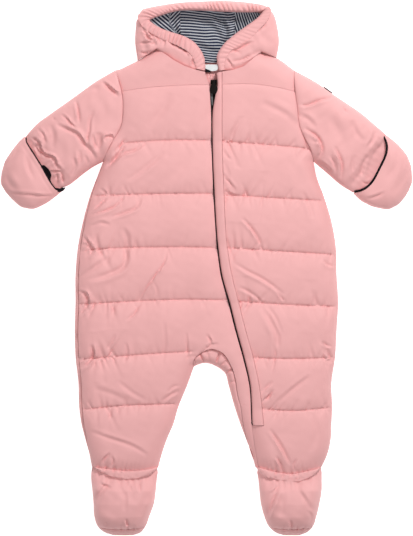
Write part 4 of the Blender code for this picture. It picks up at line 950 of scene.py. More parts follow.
def band(name, line, heights, across, swell, slot, turns=8):
    # a narrow rounded strip swept along a line
    run = np.gradient(np.asarray(line, float), axis=0)
    run /= np.linalg.norm(run, axis=1)[:, None] + 1e-9
    rings = []
    for k, ((x, y), z) in enumerate(zip(line, heights)):
        size = 0.35 if k in (0, len(line) - 1) else 1.0
        angles = np.linspace(0, 2 * math.pi, turns, endpoint=False)
        ring = [(x - run[k][1] * math.cos(a) * across * size, y + run[k][0] * math.cos(a) * across * size,
                 z + math.sin(a) * swell * size) for a in angles]
        rings.append(ring)
    return loft(name, rings, slot)


gape = {
    "lift": 1.1,
    "thick": 2.2,
    "hole": ((-222, 135.7), (-217, 137), (-212.3, 133.5), (-208.7, 129.3), (-206.9, 122.1), (-208.1, 118.5),
             (-206.3, 112.5), (-204, 107.6), (-207.5, 110), (-215.5, 123)),
    "crescent": ((-205, 108), (-202, 107), (-198, 106.4), (-192, 106.6), (-188.2, 107.6), (-190.5, 103.6),
                 (-196.8, 101.2), (-202, 103.2)),
}


def makeGape():
    # the dark lining of the right mitt, seen where its mouth stands open
    rim, heights, _ = mouths["right"]
    reach = lengthsAlong(rim)

    def over(points):
        return np.maximum(sleeveTop["right"](points), 17.5) + gape["lift"]

    def overRim(points):
        return np.maximum(over(points), np.interp(nearestOn(points, rim)[2], reach, heights) + 0.5)

    shapes = []
    for outline, lid in ((gape["hole"], over), (gape["crescent"], overRim)):
        line = curveThrough(list(outline) + [outline[0]], 1.2)
        shapes.append(slabShape(joined(line), lid, lambda p, lid=lid: lid(p) - gape["thick"], spacing=1.2,
                                fineUnder=True))
    meshObject("mittInside", *together(*shapes), "binding")


makeGape()
for side, (line, heights, _) in mouths.items():
    thin = 0.8 if side == "right" else 1.5
    band("binding" + side.capitalize(), line, heights, thin, 0.7 * thin, "binding")
print("sleeves and mitts made")


Foot = namedtuple("Foot", "y rightOut rightIn leftIn leftOut high")
feet = {
    "rows": (
        Foot(-262, -153, -63, 65, 154, 22), Foot(-281, -154, -66, 69, 154, 29),
        Foot(-296, -152.5, -67.5, 70.5, 154, 36.5), Foot(-314, -151, -70, 72.5, 151, 39),
        Foot(-331, -150, -76, 77, 147, 38), Foot(-346, -144.5, -82, 84, 141.5, 33),
        Foot(-353, -136, -88, 92, 134, 26), Foot(-356.85, -124, -98, 103, 124, 19),
    ),
    "toeSeam": -346.0,
    "edgeAbove": 24,
    "edgeBelow": 17,
    "hemReach": 16,
    "uppersEnd": -272,  # the upper reaches this far up under its hem
    "hemEdge": {
        "right": ((-152.5, -264), (-144.7, -271), (-130, -279), (-108.7, -283.5), (-92.7, -282.8),
                  (-76.7, -277.5), (-64.5, -266)),
        "left": ((66, -266), (76.7, -279.5), (99.3, -285.3), (112.7, -288), (130, -284.5), (143.3, -277.5),
                 (153.5, -265)),
    },
    "rightCreases": (
        Crease(((-149, -312), (-140, -298), (-128, -284)), 3.2, 2.0, 0.6),
        Crease(((-142, -286), (-134, -290), (-126, -292)), 1.6, 1.3, 0.5),
        Crease(((-76, -300), (-84, -312), (-88, -330)), 4.0, 0.8, 0.5),
        Crease(((-114, -290), (-108, -306), (-110, -322)), 2.6, 0.7, 0.5),
        Crease(((-102, -287), (-101, -296)), 1.4, 1.1, 0.5),
        Crease(((-90, -286), (-88, -298)), 1.5, 1.0, -0.5),
        Crease(((-106, -354), (-105, -344), (-107, -333)), 1.3, 2.2, 0.5),
        Crease(((-113, -353), (-115, -341)), 1.3, 1.9, 0.5),
        Crease(((-98, -353), (-96, -340)), 1.3, 1.7, -0.5),
        Crease(((-120, -352), (-124, -341)), 1.3, 1.4, -0.5),
        Crease(((-130, -344), (-134, -337)), 1.4, 1.0, 0.5),
    ),
    "leftCreases": (
        Crease(((79, -335), (86, -316), (94, -294)), 2.2, 2.2, -0.6),
        Crease(((85, -300), (92, -294), (96, -288)), 1.5, 1.2, 0.5),
        Crease(((120, -292), (130, -306), (140, -322)), 2.4, 0.9, 0.5),
        Crease(((134, -322), (140, -332), (138, -340)), 1.8, 1.0, 0.5),
        Crease(((112, -354), (113, -344), (111, -335)), 1.3, 2.2, 0.5),
        Crease(((119, -353), (122, -341)), 1.3, 1.9, -0.5),
        Crease(((104, -353), (102, -341)), 1.3, 1.6, 0.5),
        Crease(((127, -351), (130, -342)), 1.3, 1.5, -0.5),
        Crease(((98, -300), (100, -316), (96, -330)), 4.0, 0.7, -0.5),
    ),
}


def makeFoot(side):
    rows = feet["rows"]
    out, inn = ("rightOut", "rightIn") if side == "right" else ("leftOut", "leftIn")
    outer = curveThrough(column(rows, out), step)
    inner = curveThrough(column(rows, inn), step)
    toe = curveThrough([outer[-1], (outer[-1] + inner[-1]) / 2 + (0, -0.15), inner[-1]], step)
    edges = [np.vstack([outer, toe, inner[::-1]])]
    ys, highs = [row.y for row in rows][::-1], [row.high for row in rows][::-1]
    ends = [(lineX(border, feet["toeSeam"]), feet["toeSeam"]) for border in (outer, inner)]
    seam = curveThrough([ends[0], ((ends[0][0] + ends[1][0]) / 2, feet["toeSeam"] - 2.5), ends[1]], step)
    hemEdge = curveThrough(feet["hemEdge"][side], step)
    tucked = hemEdge + (0, 9)

    def top(points):
        edge = distanceTo(points, *edges)
        full = np.interp(points[:, 1], ys, highs) + creaseHeight(points, feet[side + "Creases"])
        full += 0.5 * softSteps(points, 36, 6, 61 + len(side)) + 0.2 * softSteps(points, 14, 8, 67)
        gap = distanceTo(points, seam)
        full -= 1.6 * np.exp(-gap / 3.5) + seamDip(gap, 2.8, 1.0)
        mouth = distanceTo(points, hemEdge)
        wave = np.sin(points[:, 0] * 2 * math.pi / 10.5 + 1.9 * np.sin(points[:, 0] / 8.1))
        full += (0.9 * wave - 0.4) * np.exp(-((mouth / 10) ** 1.5)) - 2.2 * np.exp(-mouth / 6)
        return domed(full, edge, feet["edgeAbove"])

    def under(points):
        edge = distanceTo(points, *edges)
        return body["seamPlane"] * (1 - rise(edge, feet["edgeBelow"]))

    upOut, upIn = [border[(border[:, 1] > feet["toeSeam"]) & (border[:, 1] < feet["uppersEnd"])]
                   for border in (outer, inner)]
    toeOut, toeIn = [border[border[:, 1] <= feet["toeSeam"]] for border in (outer, inner)]
    xs = sorted((upOut[0, 0], upIn[0, 0]))
    line = tucked[(tucked[:, 0] > xs[0] + 2) & (tucked[:, 0] < xs[1] - 2)]
    across = line if abs(line[0, 0] - upOut[0, 0]) > abs(line[0, 0] - upIn[0, 0]) else line[::-1]
    loop = joined(upOut, seam, upIn[::-1], across)
    name = side.capitalize()
    slab("bootie" + name, shrunk(loop, 0.12), top, innerPlane)
    soleLoop = joined(upOut, toeOut, toe, toeIn[::-1], upIn[::-1], across)
    sole = slabShape(soleLoop, level(body["seamPlane"] - 0.15), under, spacing=5.0, coarse=4.5)
    turnUpLoop = shrunk(joined(seam, toeIn, toe[::-1], toeOut[::-1]), 0.12)
    strip = slabShape(turnUpLoop, top, level(body["seamPlane"] - 0.1), spacing=1.5)
    meshObject("sole" + name, *together(sole, strip), "shell")
    hemLine = hemTop[side]
    startGap, endGap = [np.linalg.norm(hemEdge[k] - hemLine[-1]) for k in (0, -1)]
    hemOut = hemEdge if startGap < endGap else hemEdge[::-1]
    hemLoop = joined(hemLine, hemOut)

    def hemHeight(points):
        edge = distanceTo(points, outer, inner)
        upper, low = distanceTo(points, hemLine), distanceTo(points, hemEdge)
        x = points[:, 0]
        wave = np.sin(x * 2 * math.pi / 8.6 + 1.5 * np.sin(x / 6.7))
        wave = wave + 0.5 * np.sin(x * 2 * math.pi / 4.7 + 1)
        roll = np.sqrt(np.clip(1 - (1 - np.clip(np.minimum(upper, low) / 3.0, 0, 1)) ** 2, 0, 1))
        sharp = hemGather(x + 0.25 * upper, side)
        full = 27.2 + 2.6 * roll + 0.3 * wave * roll - 3.8 * sharp * np.exp(-((upper / 8.5) ** 2))
        return domed(full, np.minimum(edge, low * 4), feet["hemReach"])

    def hemUnder(points):
        edge = distanceTo(points, outer, inner)
        return 1.0 + (body["seamPlane"] - 1.0) * (1 - rise(edge, feet["edgeBelow"]))

    slab("hem" + name, hemLoop, hemHeight, hemUnder, spacing=1.3, coarse=4.0)


for side in ("right", "left"):
    makeFoot(side)
print("feet made")


Station = namedtuple("Station", "rim seam out")
hood = {
    "rimTop": 29.5,
    "reach": 22.0,
    "stations": (
        Station((-2, 262.5), (-13, 265), (-15, 264)), Station((-3.5, 281), (-17, 277), (-30, 269.5)),
        Station((-14, 298), (-24, 287), (-44, 277)), Station((-29, 308), (-39, 296), (-55, 285)),
        Station((-47, 314), (-56, 303), (-66, 292)), Station((-58, 318), (-68, 309), (-80, 284)),
        Station((-66, 322), (-78, 315), (-92, 276.5)), Station((-72, 326), (-86, 322), (-95.5, 303)),
        Station((-76, 330), (-91.5, 332), (-93.5, 331)), Station((-72, 332.5), (-88.4, 341.8), None),
        Station((-66, 335), (-80, 347), None),
        Station((-38, 343), (-40, 354), None), Station((-8, 343.5), (-8, 356), None),
        Station((21, 342), (21, 357), None), Station((50, 341), (52, 355), None),
        Station((70, 341.5), (76, 351), None), Station((76, 343), (86, 343), (89, 340)),
        Station((68, 333), (80, 328), (95, 320)), Station((56, 324), (68, 315), (97, 300)),
        Station((42, 314), (56, 303), (93.5, 280.5)), Station((32, 306), (44, 296), (73, 288)),
        Station((24, 299), (34, 290), (61, 278.25)), Station((15.5, 286), (26, 279), (49, 268.5)),
        Station((14, 276), (24, 271), (36, 264)), Station((16.7, 262.5), (24, 263.5), (26, 263)),
    ),
    "outline": ((-92, 276.5), (-95.5, 303), (-94.5, 320), (-93.0, 333), (-88.5, 341.8), (-80, 347),
                (-62, 351.8), (-40, 354), (-8, 356.2), (21, 356.8), (52, 355), (71, 352.5), (82, 348.6),
                (89, 340), (95, 320), (97, 300), (93.5, 280.5)),
    "rightCreases": (
        Crease(((-49, 303), (-38, 296), (-22, 289), (-14, 284), (-4, 279)), 2.6, 4.4, 0.5),
        Crease(((-52, 308), (-46, 300), (-42, 294)), 1.4, 1.8, 0.5),
        Crease(((-84, 312), (-76, 305), (-66, 298)), 1.5, 1.6, 0.5),
        Crease(((-94, 298), (-78, 300), (-64, 296)), 1.3, 1.5, 0.5),
        Crease(((-93, 290), (-84, 286), (-74, 288)), 1.4, 2.0, 0.4),
        Crease(((-86, 318), (-80, 311), (-78, 304)), 1.3, 1.5, -0.5),
        Crease(((-78, 316), (-72, 309), (-70, 303)), 1.3, 1.5, -0.5),
        Crease(((-70, 311), (-64, 305), (-62, 299)), 1.3, 1.3, -0.5),
        Crease(((-60, 308), (-56, 300), (-58, 294)), 1.3, 1.2, 0.4),
        Crease(((-35, 296), (-28, 288), (-24, 280)), 1.4, 1.4, 0.4),
        Crease(((-26, 291), (-18, 283), (-14, 276)), 1.3, 1.3, 0.4),
        Crease(((-17, 268), (-19, 274), (-16, 280)), 1.3, 1.4, 0.5),
        Crease(((-88, 304), (-82, 296), (-84, 284)), 4.0, 1.4, 0.4),
    ),
    "leftCreases": (
        Crease(((25, 288), (40, 290), (52, 297), (63, 301)), 1.6, 1.8, 0.5),
        Crease(((24, 292), (30, 291), (34, 293)), 1.2, 1.6, 0.5),
        Crease(((37, 290), (42, 287), (46, 287)), 1.2, 1.2, 0.5),
        Crease(((27, 278), (33, 270), (37, 265)), 1.3, 1.5, 0.4),
        Crease(((30, 274), (44, 276), (60, 283), (72, 290)), 1.8, 1.4, -0.4),
        Crease(((36, 300), (40, 304), (40, 310)), 1.3, 1.0, 0.4),
        Crease(((60, 316), (74, 322), (84, 332)), 4.0, 0.8, 0.5),
        Crease(((84, 296), (78, 306), (76, 316)), 5.0, 0.8, 0.5),
    ),
}
hoodOutline = curveThrough(hood["outline"], step)
stations = hood["stations"]


def stationLine(points, count):
    # a smooth line through the stations, with an even number of places between them
    p = np.array(points, float)
    slope = np.gradient(p, axis=0)
    dense = np.linspace(0, len(p) - 1, count)
    k = np.clip(dense.astype(int), 0, len(p) - 2)
    u = (dense - k)[:, None]
    line = (2 * u**3 - 3 * u**2 + 1) * p[k] + (u**3 - 2 * u**2 + u) * slope[k]
    return line + (3 * u**2 - 2 * u**3) * p[k + 1] + (u**3 - u**2) * slope[k + 1]


rimCount = 620
rimIn = stationLine([row.rim for row in stations], rimCount)
rimOut = stationLine([row.seam for row in stations], rimCount)


def rimSurface():
    share = np.linspace(0, 1, rimCount)
    across = np.array([-0.02, 0.0, 0.05, 0.13, 0.24, 0.38, 0.52, 0.66, 0.78, 0.88, 0.95, 0.99, 1.0])
    middle = (rimIn + rimOut) / 2
    arc = lengthsAlong(middle)
    phase = arc * math.pi / 6.1 + 0.9 * np.sin(arc / 11) + 0.5 * np.sin(arc / 4.7 + 1)
    strength = np.interp(share, (0, 0.08, 0.24, 0.33, 0.42, 0.5, 0.56, 0.61, 0.65, 0.74, 0.86, 1.0),
                         (0.4, 0.8, 1.2, 0.45, 1.0, 0.9, 1.4, 1.5, 0.5, 0.15, 0.5, 0.2))
    rings = []
    for k in range(rimCount):
        a, b = rimIn[k], rimOut[k]
        width = np.linalg.norm(b - a)
        crown = 0.36 < share[k] < 0.64
        ring = []
        for t in across:
            place = a + (b - a) * t
            bulge = math.sqrt(max(0.0, 1 - (2 * min(max(t, 0), 1) - 1) ** 2))
            uneven = 0.8 + 0.3 * math.sin(arc[k] / 8.3 + 1.3)
            valley = uneven * (1 - abs(math.sin(phase[k] + (t - 0.5) * 3.6))) ** 1.2
            outer = t > 0.45 and not crown
            base = 24.6 + 4.4 * (1.0 if outer else bulge ** 0.8) - 0.5 * max(0.0, t - 0.85) * 6 * outer
            base += strength[k] * (0.8 - 3.2 * valley) * (0.35 + 0.65 * bulge)
            if crown:
                base = min(base, 15.2 + (base - 15.2) * float(rise(np.array(width * (1 - t)), 11)))
            ring.append((place[0], place[1], base))
        low = 13.0 if crown else 21.2
        for t in (0.97, 0.5, 0.03):
            place = a + (b - a) * t
            ring.append((place[0], place[1], low))
        rings.append(ring)
    return rings


loft("hoodRim", rimSurface(), "shell")


def makeHoodSide(side):
    first, last = (0, 8) if side == "right" else (16, 24)
    count = rimCount - 1
    start, end = int(round(first * count / 24)), int(round(last * count / 24))
    seam = rimOut[start:end + 1]
    if side == "right":
        out = np.vstack([curveThrough([row.out for row in stations[0:5]], step),
                         curveThrough([row.out for row in stations[4:7]], step),
                         hoodOutline[(hoodOutline[:, 0] < 0) & (hoodOutline[:, 1] < 332)]])
    else:
        out = np.vstack([hoodOutline[(hoodOutline[:, 0] > 0) & (hoodOutline[:, 1] < 341)],
                         curveThrough([row.out for row in stations[19:21]], step),
                         curveThrough([row.out for row in stations[20:25]], step)])
    loop = joined(seam, out[::-1])
    neck = np.array([row.out for row in (stations[0:7] if side == "right" else stations[19:25])], float)

    def top(points):
        edge = distanceTo(points, hoodOutline)
        full = hood["rimTop"] + creaseHeight(points, hood[side + "Creases"])
        gap, seamGap = distanceTo(points, neck), distanceTo(points, seam)
        full = full - 2.6 * np.exp(-gap / 6) - seamDip(gap, 1.2, 1.1)
        full -= 0.6 * np.exp(-seamGap / 5) + seamDip(seamGap, 0.35, 1.0)
        full += 0.6 * softSteps(points, 34, 7, 81) + 0.3 * softSteps(points, 13, 8, 83)
        return 16 + (full - 16) * rise(edge, hood["reach"])

    def under(points):
        edge = distanceTo(points, hoodOutline)
        return np.minimum(13.0 + 8.0 * rise(edge, hood["reach"]), top(points) - 2.0)

    slab("hoodSide" + side.capitalize(), shrunk(loop, 0.12), top, under, coarse=4.0)


for side in ("right", "left"):
    makeHoodSide(side)

hoodBackLoop = joined(curveThrough([(-66, 292.4), (-55, 285.4), (-44, 277.9), (-30, 274.4), (-22, 273.4),
                                    (13, 272.4), (36, 273.4), (49, 276.4), (73, 288.4)], step),
                      curveThrough([(73, 288.4), (93.5, 280.9)], step), hoodOutline[::-1],
                      curveThrough([(-92, 276.9), (-80, 284.4), (-66, 292.4)], step))


def hoodBackUnder(points):
    return 12.6 * (1 - rise(distanceTo(points, hoodOutline), 20))


def hoodBackTop(points):
    return hoodBackUnder(points) + 2.6 + 0.2 * rise(distanceTo(points, hoodOutline), 6)


slab("hoodBack", shrunk(hoodBackLoop, 0.9), hoodBackTop, hoodBackUnder, spacing=3.4, fineUnder=True)


Panel = namedtuple("Panel", "x bottom top height")
lining = {
    "period": 3.6,  # of the stripes
    "seams": (-35, 38),
    "thick": 1.7,
    "right": (Panel(-84, 302, 332, 17), Panel(-66, 297, 339, 12), Panel(-50, 290, 343, 8),
              Panel(-35, 281, 344, 4.8)),
    "centre": (Panel(-35, 281, 344, 4.8), Panel(-12, 275, 344.5, 4.6), Panel(12, 275, 344.5, 4.6),
               Panel(38, 277, 344, 4.8)),
    "left": (Panel(38, 277, 344, 4.8), Panel(54, 286, 343, 8), Panel(70, 292, 340, 12),
             Panel(86, 298, 332, 17)),
    "creases": (
        Crease(((6, 344), (20, 330), (26, 312), (20, 296)), 3.4, 2.4, 0.8),
        Crease(((-14, 334), (4, 325), (16, 313), (22, 300), (24, 286)), 4.2, 1.8, 0.6),
        Crease(((-46, 338), (-40, 318), (-34, 300)), 2.4, 1.8, 0.6),
        Crease(((44, 338), (41, 318), (42, 302)), 2.6, 1.8, -0.6),
        Crease(((-14, 300), (2, 292), (20, 290)), 3.4, 1.5, 0.5),
        Crease(((52, 338), (50, 322), (46, 308)), 2.6, 1.4, 0.5),
    ),
    "lean": {"right": (0.66, 0.75), "centre": (0.03, 1.0), "left": (1.0, 0.22)},
}


def makeLining(side):
    rows = lining[side]
    gap = 0.04
    bottom = curveThrough([(row.x, row.bottom) for row in rows], step)
    top = curveThrough([(row.x, row.top) for row in rows], step)
    loop = shrunk(joined(bottom, curveThrough([bottom[-1], top[-1]], step), top[::-1],
                         curveThrough([top[0], bottom[0]], step)), gap)
    xs, heights = [row.x for row in rows], [row.height for row in rows]

    def height(points):
        low = np.interp(points[:, 0], xs, heights)
        swell = 4.2 * np.exp(-distanceTo(points, [(rows[0].x, 344), (rows[-1].x, 344)]) / 12)
        dip = sum(0.9 * np.exp(-np.abs(points[:, 0] - x) / 2.2) for x in lining["seams"])
        full = low + 2.6 + swell + creaseHeight(points, lining["creases"]) - dip
        return full + 0.5 * softSteps(points, 24, 6, 91)

    name = "lining" + side.capitalize()
    slab(name, loop, height, lambda p: height(p) - lining["thick"], "lining", spacing=1.8, fineUnder=True)
    piece = made[name][0]
    area = abs(twiceArea(loop)) / 2 * 1.08  # with what its folds take up
    size = (loop.max(axis=0) - loop.min(axis=0)) * 1.05
    leanX, leanY = lining["lean"][side]
    stripe = piece.data.attributes.new("stripe", "FLOAT", "POINT")  # the count of stripes at each point
    for place, corner in zip(stripe.data, piece.data.vertices):  # the knit bends round its folds
        x, y = corner.co.x / mm, corner.co.y / mm
        bend = 1.3 * math.sin(x / 15 + 0.7) + 0.9 * math.sin(y / 9 + x / 22)
        if side == "centre":
            near = ((x - 14) / 14) ** 2 + ((y - 324) / 22) ** 2
            bend += 1.7 * math.sin(x / 7.5 + y / 14) * math.exp(-near)
            bend += 2.4 * math.exp(-(((x - 30) / 9) ** 2)) * (y > 300)
        elif side == "left":
            bend += 0.016 * (y - 318) ** 2 * (x - 38) / 40
        elif x > -49 and y - 326 > (x + 49) * -1.25:
            leanX, leanY, bend = -0.72, 0.70, 0.0
        else:
            leanX, leanY = lining["lean"][side]
        place.value = (x * leanX + y * leanY + bend) / lining["period"]


for side in ("right", "centre", "left"):
    makeLining(side)
print("hood and lining made")


zipParts = {
    "pitch": 2.0,
    "tooth": ((-0.7, -0.85, 0.0), (0.7, -0.85, 0.0), (0.7, 0.85, 0.0), (-0.7, 0.85, 0.0),
              (-0.45, -0.6, 0.75), (0.45, -0.6, 0.75), (0.45, 0.6, 0.75), (-0.45, 0.6, 0.75)),
    "tapeTop": 27.4,
    "slider": ((9.6, 245.0), 8.0, 11.0, 20.8, 25.8),
    "pin": (248.3, 30.0, 0.7),
    "lug": ((-0.6, -1.5), (0.6, -1.5), (0.6, 1.5), (-0.6, 1.5)),
    "pullThick": 1.6,
    "pullProfile": ((-17.0, 0.0), (-16.6, 2.2), (-15.4, 3.9), (-13.4, 5.0), (-11.2, 5.35), (-8.8, 4.9),
                    (-6.4, 3.9), (-4.2, 2.9), (-2.4, 2.2), (-1.0, 2.0), (0.6, 1.9), (1.6, 1.3), (2.0, 0.0)),
}


def zipTape():
    line = zipMiddle[(zipMiddle[:, 1] > body["zipEnd"]) & (zipMiddle[:, 1] < 244)]
    far = line[:, 1] > 226
    top = np.where(far, 21.0, zipParts["tapeTop"])
    run = np.gradient(line, axis=0)
    run /= np.linalg.norm(run, axis=1)[:, None]
    half = np.interp(line[:, 1], [row.y for row in body["zip"]], [row.half for row in body["zip"]]) - 0.25
    rings = []
    for (x, y), way, width, z in zip(line, run, half, top):
        a, b = (-way[1] * width, way[0] * width), (way[1] * width, -way[0] * width)
        rings.append([(x + b[0], y + b[1], z - 0.6), (x, y, z - 0.2), (x + a[0], y + a[1], z - 0.6),
                      (x + a[0], y + a[1], 16), (x + b[0], y + b[1], 16)])
    loft("zipTape", rings, "zip")
    teeth, faces = [], []
    total = lengthsAlong(line)
    for k, place in enumerate(np.arange(1.0, total[-1] - 1, zipParts["pitch"])):
        spot = np.array([np.interp(place, total, line[:, j]) for j in (0, 1)])
        way = np.array([np.interp(place, total, run[:, j]) for j in (0, 1)])
        z = float(np.interp(place, total, top)) - 0.3
        side = 0.45 if k % 2 else -0.45
        cross = np.array([-way[1], way[0]])
        centre = spot + cross * side
        for ahead, over, high in zipParts["tooth"]:
            at = centre + way * ahead + cross * over
            teeth.append((at[0], at[1], z + high))
        n = len(teeth) - 8
        faces += [[n, n + 1, n + 5, n + 4], [n + 1, n + 2, n + 6, n + 5], [n + 2, n + 3, n + 7, n + 6],
                  [n + 3, n, n + 4, n + 7], [n + 4, n + 5, n + 6, n + 7], [n + 3, n + 2, n + 1, n]]
    meshObject("zipTeeth", teeth, faces, "zip", 20)


zipTape()


def layered(outline, layers, spacing, swell=0.0):
    # an upright prism, drawn in by an inset at each height, with an even cap at either end
    rows = [np.column_stack([shrunk(outline, inset), np.full(len(outline), z)]) for inset, z in layers]
    count = len(outline)
    faces = []
    for row in range(len(rows) - 1):
        for k in range(count):
            start, after = row * count, (k + 1) % count
            faces.append([start + k, start + after, start + count + after, start + count + k])
    outer = rows[0][:, :2]
    cap, capFaces, _ = fillLoop(outer, spacing, (), ())
    start = len(rows) * count
    inside = np.minimum(nearestOn(cap, np.vstack([outer, outer[:1]]))[0], 1.5)
    rows += [np.column_stack([cap, np.full(len(cap), layers[0][1])]),
             np.column_stack([cap, layers[-1][1] + inside * swell])]
    faces += [[k + start for k in reversed(face)] for face in capFaces]
    faces += [[k + start + len(cap) for k in face] for face in capFaces]
    return np.vstack(rows), faces


def roundedPrism(name, outline, low, high, bevel):
    layers = ((bevel, low), (0, low + bevel), (0, high - bevel), (bevel, high))
    points, faces = layered(outline, layers, 1.2)
    return meshObject(name, points, faces, "zip", 35)


def makeSlider():
    (x, y), width, length, low, high = zipParts["slider"]
    a, b = width / 2, length / 2
    outline = curveThrough([(x - a * 0.55, y - b), (x, y - b - 0.4), (x + a * 0.55, y - b),
                            (x + a * 0.8, y - b * 0.3), (x + a, y + b * 0.5), (x + a * 0.7, y + b),
                            (x + 1.2, y + b * 0.9), (x, y + b * 0.55), (x - 1.2, y + b * 0.9),
                            (x - a * 0.7, y + b), (x - a, y + b * 0.5), (x - a * 0.8, y - b * 0.3),
                            (x - a * 0.55, y - b)], 0.7)[:-1]
    roundedPrism("sliderBody", outline, low + 4.0, high, 0.5)
    roundedPrism("sliderFoot", outline, low - 1.2, low + 1.2, 0.4)
    pinY, pinZ, radius = zipParts["pin"]
    for sign in (-1, 1):
        side = x + sign * 3.3
        lug = [(side + across, pinY + along) for across, along in zipParts["lug"]]
        roundedPrism("lugRight" if sign < 0 else "lugLeft", curveThrough(lug + lug[:1], 0.6)[:-1],
                     high - 0.6, pinZ + 1.3, 0.35)
    rings = []
    for px in np.linspace(x - 3.9, x + 3.9, 5):
        rings.append([(px, pinY + radius * math.cos(t), pinZ + radius * math.sin(t))
                      for t in np.linspace(0, 2 * math.pi, 16, endpoint=False)])
    loft("hingePin", rings, "zip")


makeSlider()


def makePull():
    # a flat teardrop hanging from the pin, its narrow end round the pin
    (x, _), *_ = zipParts["slider"]
    pinY, pinZ, _ = zipParts["pin"]
    right = curveThrough([(wide, y) for y, wide in zipParts["pullProfile"]], 0.7)
    loop = np.vstack([right, np.column_stack([-right[::-1, 0], right[::-1, 1]])[1:-1]])
    half = zipParts["pullThick"] / 2
    layers = ((0.45, -half), (0.1, -half + 0.2), (0, -half + 0.45), (0, half - 0.45), (0.1, half - 0.2),
              (0.45, half))
    points, faces = layered(loop, layers, 1.1, 0.12)
    meshObject("pullTab", points + np.array([x, pinY, pinZ]), faces, "zip", 35)


makePull()


def makeChinGuard():
    rows = ((238.5, 3.6, 4.7, 22.5), (243, 2.8, 5.3, 23.7), (248, 1.7, 5.9, 25.1), (252.5, 0.7, 8.4, 26.2),
            (258.4, -0.4, 12, 27))
    right = [(row[1], row[0]) for row in rows]
    left = [(row[2], row[0]) for row in rows]
    loop = joined(curveThrough(right, 0.8), curveThrough([right[-1], left[-1]], 0.8),
                  curveThrough(left, 0.8)[::-1])
    ys, highs = [row[0] for row in rows], [row[3] for row in rows]

    def top(points):
        share = np.interp(points[:, 1], ys, (0.0, 0.25, 0.5, 0.75, 1.0))
        apex = (points[:, 0] - 4.2) / (0.6 + 6.2 * share + 1e-6)
        pleat = 2.6 * (np.abs(np.sin(apex * 5.2)) ** 0.6 - 0.7) * share
        return np.interp(points[:, 1], ys, highs) + pleat

    slab("chinGuard", loop, top, lambda p: np.interp(p[:, 1], ys, highs) - 3.2, spacing=0.8)


makeChinGuard()


trims = {
    "label": [(-1.5, 271), (-1.5, 265.4), (0.2, 262.9), (3, 262.3), (10, 262.3), (13.4, 263), (15.3, 265.6),
              (15.5, 271)],
    "neckTape": [(-1.8, 265.6), (-1.8, 260.2), (6.4, 260.2), (5.2, 262.6)],
    "selvage": [(5.1, 236.5), (8.4, 236.5), (8.3, 216.5), (7.0, 216.5)],
    "selvageTop": ((216, 226, 231, 237), (28.2, 28.0, 24.0, 22.4)),
    "selvageUnder": ((216, 226, 231, 237), (27.4, 27.2, 23.2, 21.6)),
    "sleeveTab": ((156.3, 241.0), (167.2, 233.0)),
    "tabWidth": 1.9,
}


def outlineOf(corners):
    # a closed loop of straight lines
    return joined(*[curveThrough([a, b], 0.9) for a, b in zip(corners, corners[1:] + corners[:1])])


def tilted(high):
    # the height of a small tape that slopes down into the hood
    return lambda p: high - 0.35 * (p[:, 1] - 262) + 0.3 * np.sin(p[:, 0] / 2.7)


def stepped(table):
    return lambda p: np.interp(p[:, 1], *table)


def makeTrims():
    label = trims["label"]
    curves = (label[:2], label[1:7], label[6:], [label[-1], label[0]])
    slab("neckLabel", joined(np.vstack([curveThrough(row, 0.9) for row in curves])), tilted(26.6),
         tilted(25.7), "label", spacing=1.1, fineUnder=True)
    slab("neckTape", outlineOf(trims["neckTape"]), tilted(27.5), tilted(26.7), "binding", spacing=1.1,
         fineUnder=True)
    slab("zipSelvage", outlineOf(trims["selvage"]), stepped(trims["selvageTop"]),
         stepped(trims["selvageUnder"]), "zip", spacing=1.0, fineUnder=True)
    start, end = np.array(trims["sleeveTab"])
    way = (end - start) / np.linalg.norm(end - start)
    out = np.array([-way[1], way[0]])
    if out[1] < 0:
        out = -out
    width = out * trims["tabWidth"]
    loop = outlineOf([start, end, end + width, start + width])
    slab("sleeveTab", loop - out * 0.4, level(15.9), level(14.9), "binding", spacing=1.0, fineUnder=True)


makeTrims()
print("trims made")


def stitchRow(line, heights, length=2.5, gap=1.3, wide=0.42):
    total = lengthsAlong(line)
    points, faces = [], []
    for place in np.arange(0.8, total[-1] - length, length + gap):
        steps = [place + part for part in (0, length / 2, length)]
        ends = [np.array([np.interp(at, total, line[:, j]) for j in (0, 1)]) for at in steps]
        zs = [float(np.interp(at, total, heights)) for at in steps]
        way = (ends[2] - ends[0]) / (np.linalg.norm(ends[2] - ends[0]) + 1e-9)
        cross = np.array([-way[1], way[0]])
        n = len(points)
        for (spot, z), size in zip(zip(ends, zs), (0.35, 1.0, 0.35)):
            for turn in range(6):
                angle = turn * math.pi / 3
                at = spot + cross * math.cos(angle) * wide * size
                points.append((at[0], at[1], z + 0.1 + math.sin(angle) * 0.34 * size))
        for start in (n, n + 6):
            for k in range(6):
                after = (k + 1) % 6
                faces.append([start + k, start + after, start + 6 + after, start + 6 + k])
        faces += [[n + k for k in reversed(range(6))], [n + 12 + k for k in range(6)]]
    return points, faces


def sewAll():
    points, faces = [], []

    def sew(line, height):
        rows, polygons = stitchRow(line, height(line))
        shift = len(points)
        points.extend(rows)
        faces.extend([[k + shift for k in face] for face in polygons])

    for side in ("right", "left"):
        loop = frontRightLoop if side == "right" else frontLeftLoop
        for line in quiltLines[side] + (quiltLines["strip"] if side == "right" else []):
            inner = line[insideOf(line, loop)]
            inner = inner[distanceTo(inner, np.vstack([loop, loop[:1]])) > 1.2]
            if len(inner) > 4:
                sew(inner, lambda p, s=side: bodyTop(p, s))
    meshObject("quiltStitches", points, faces, "shell", 0)


sewAll()


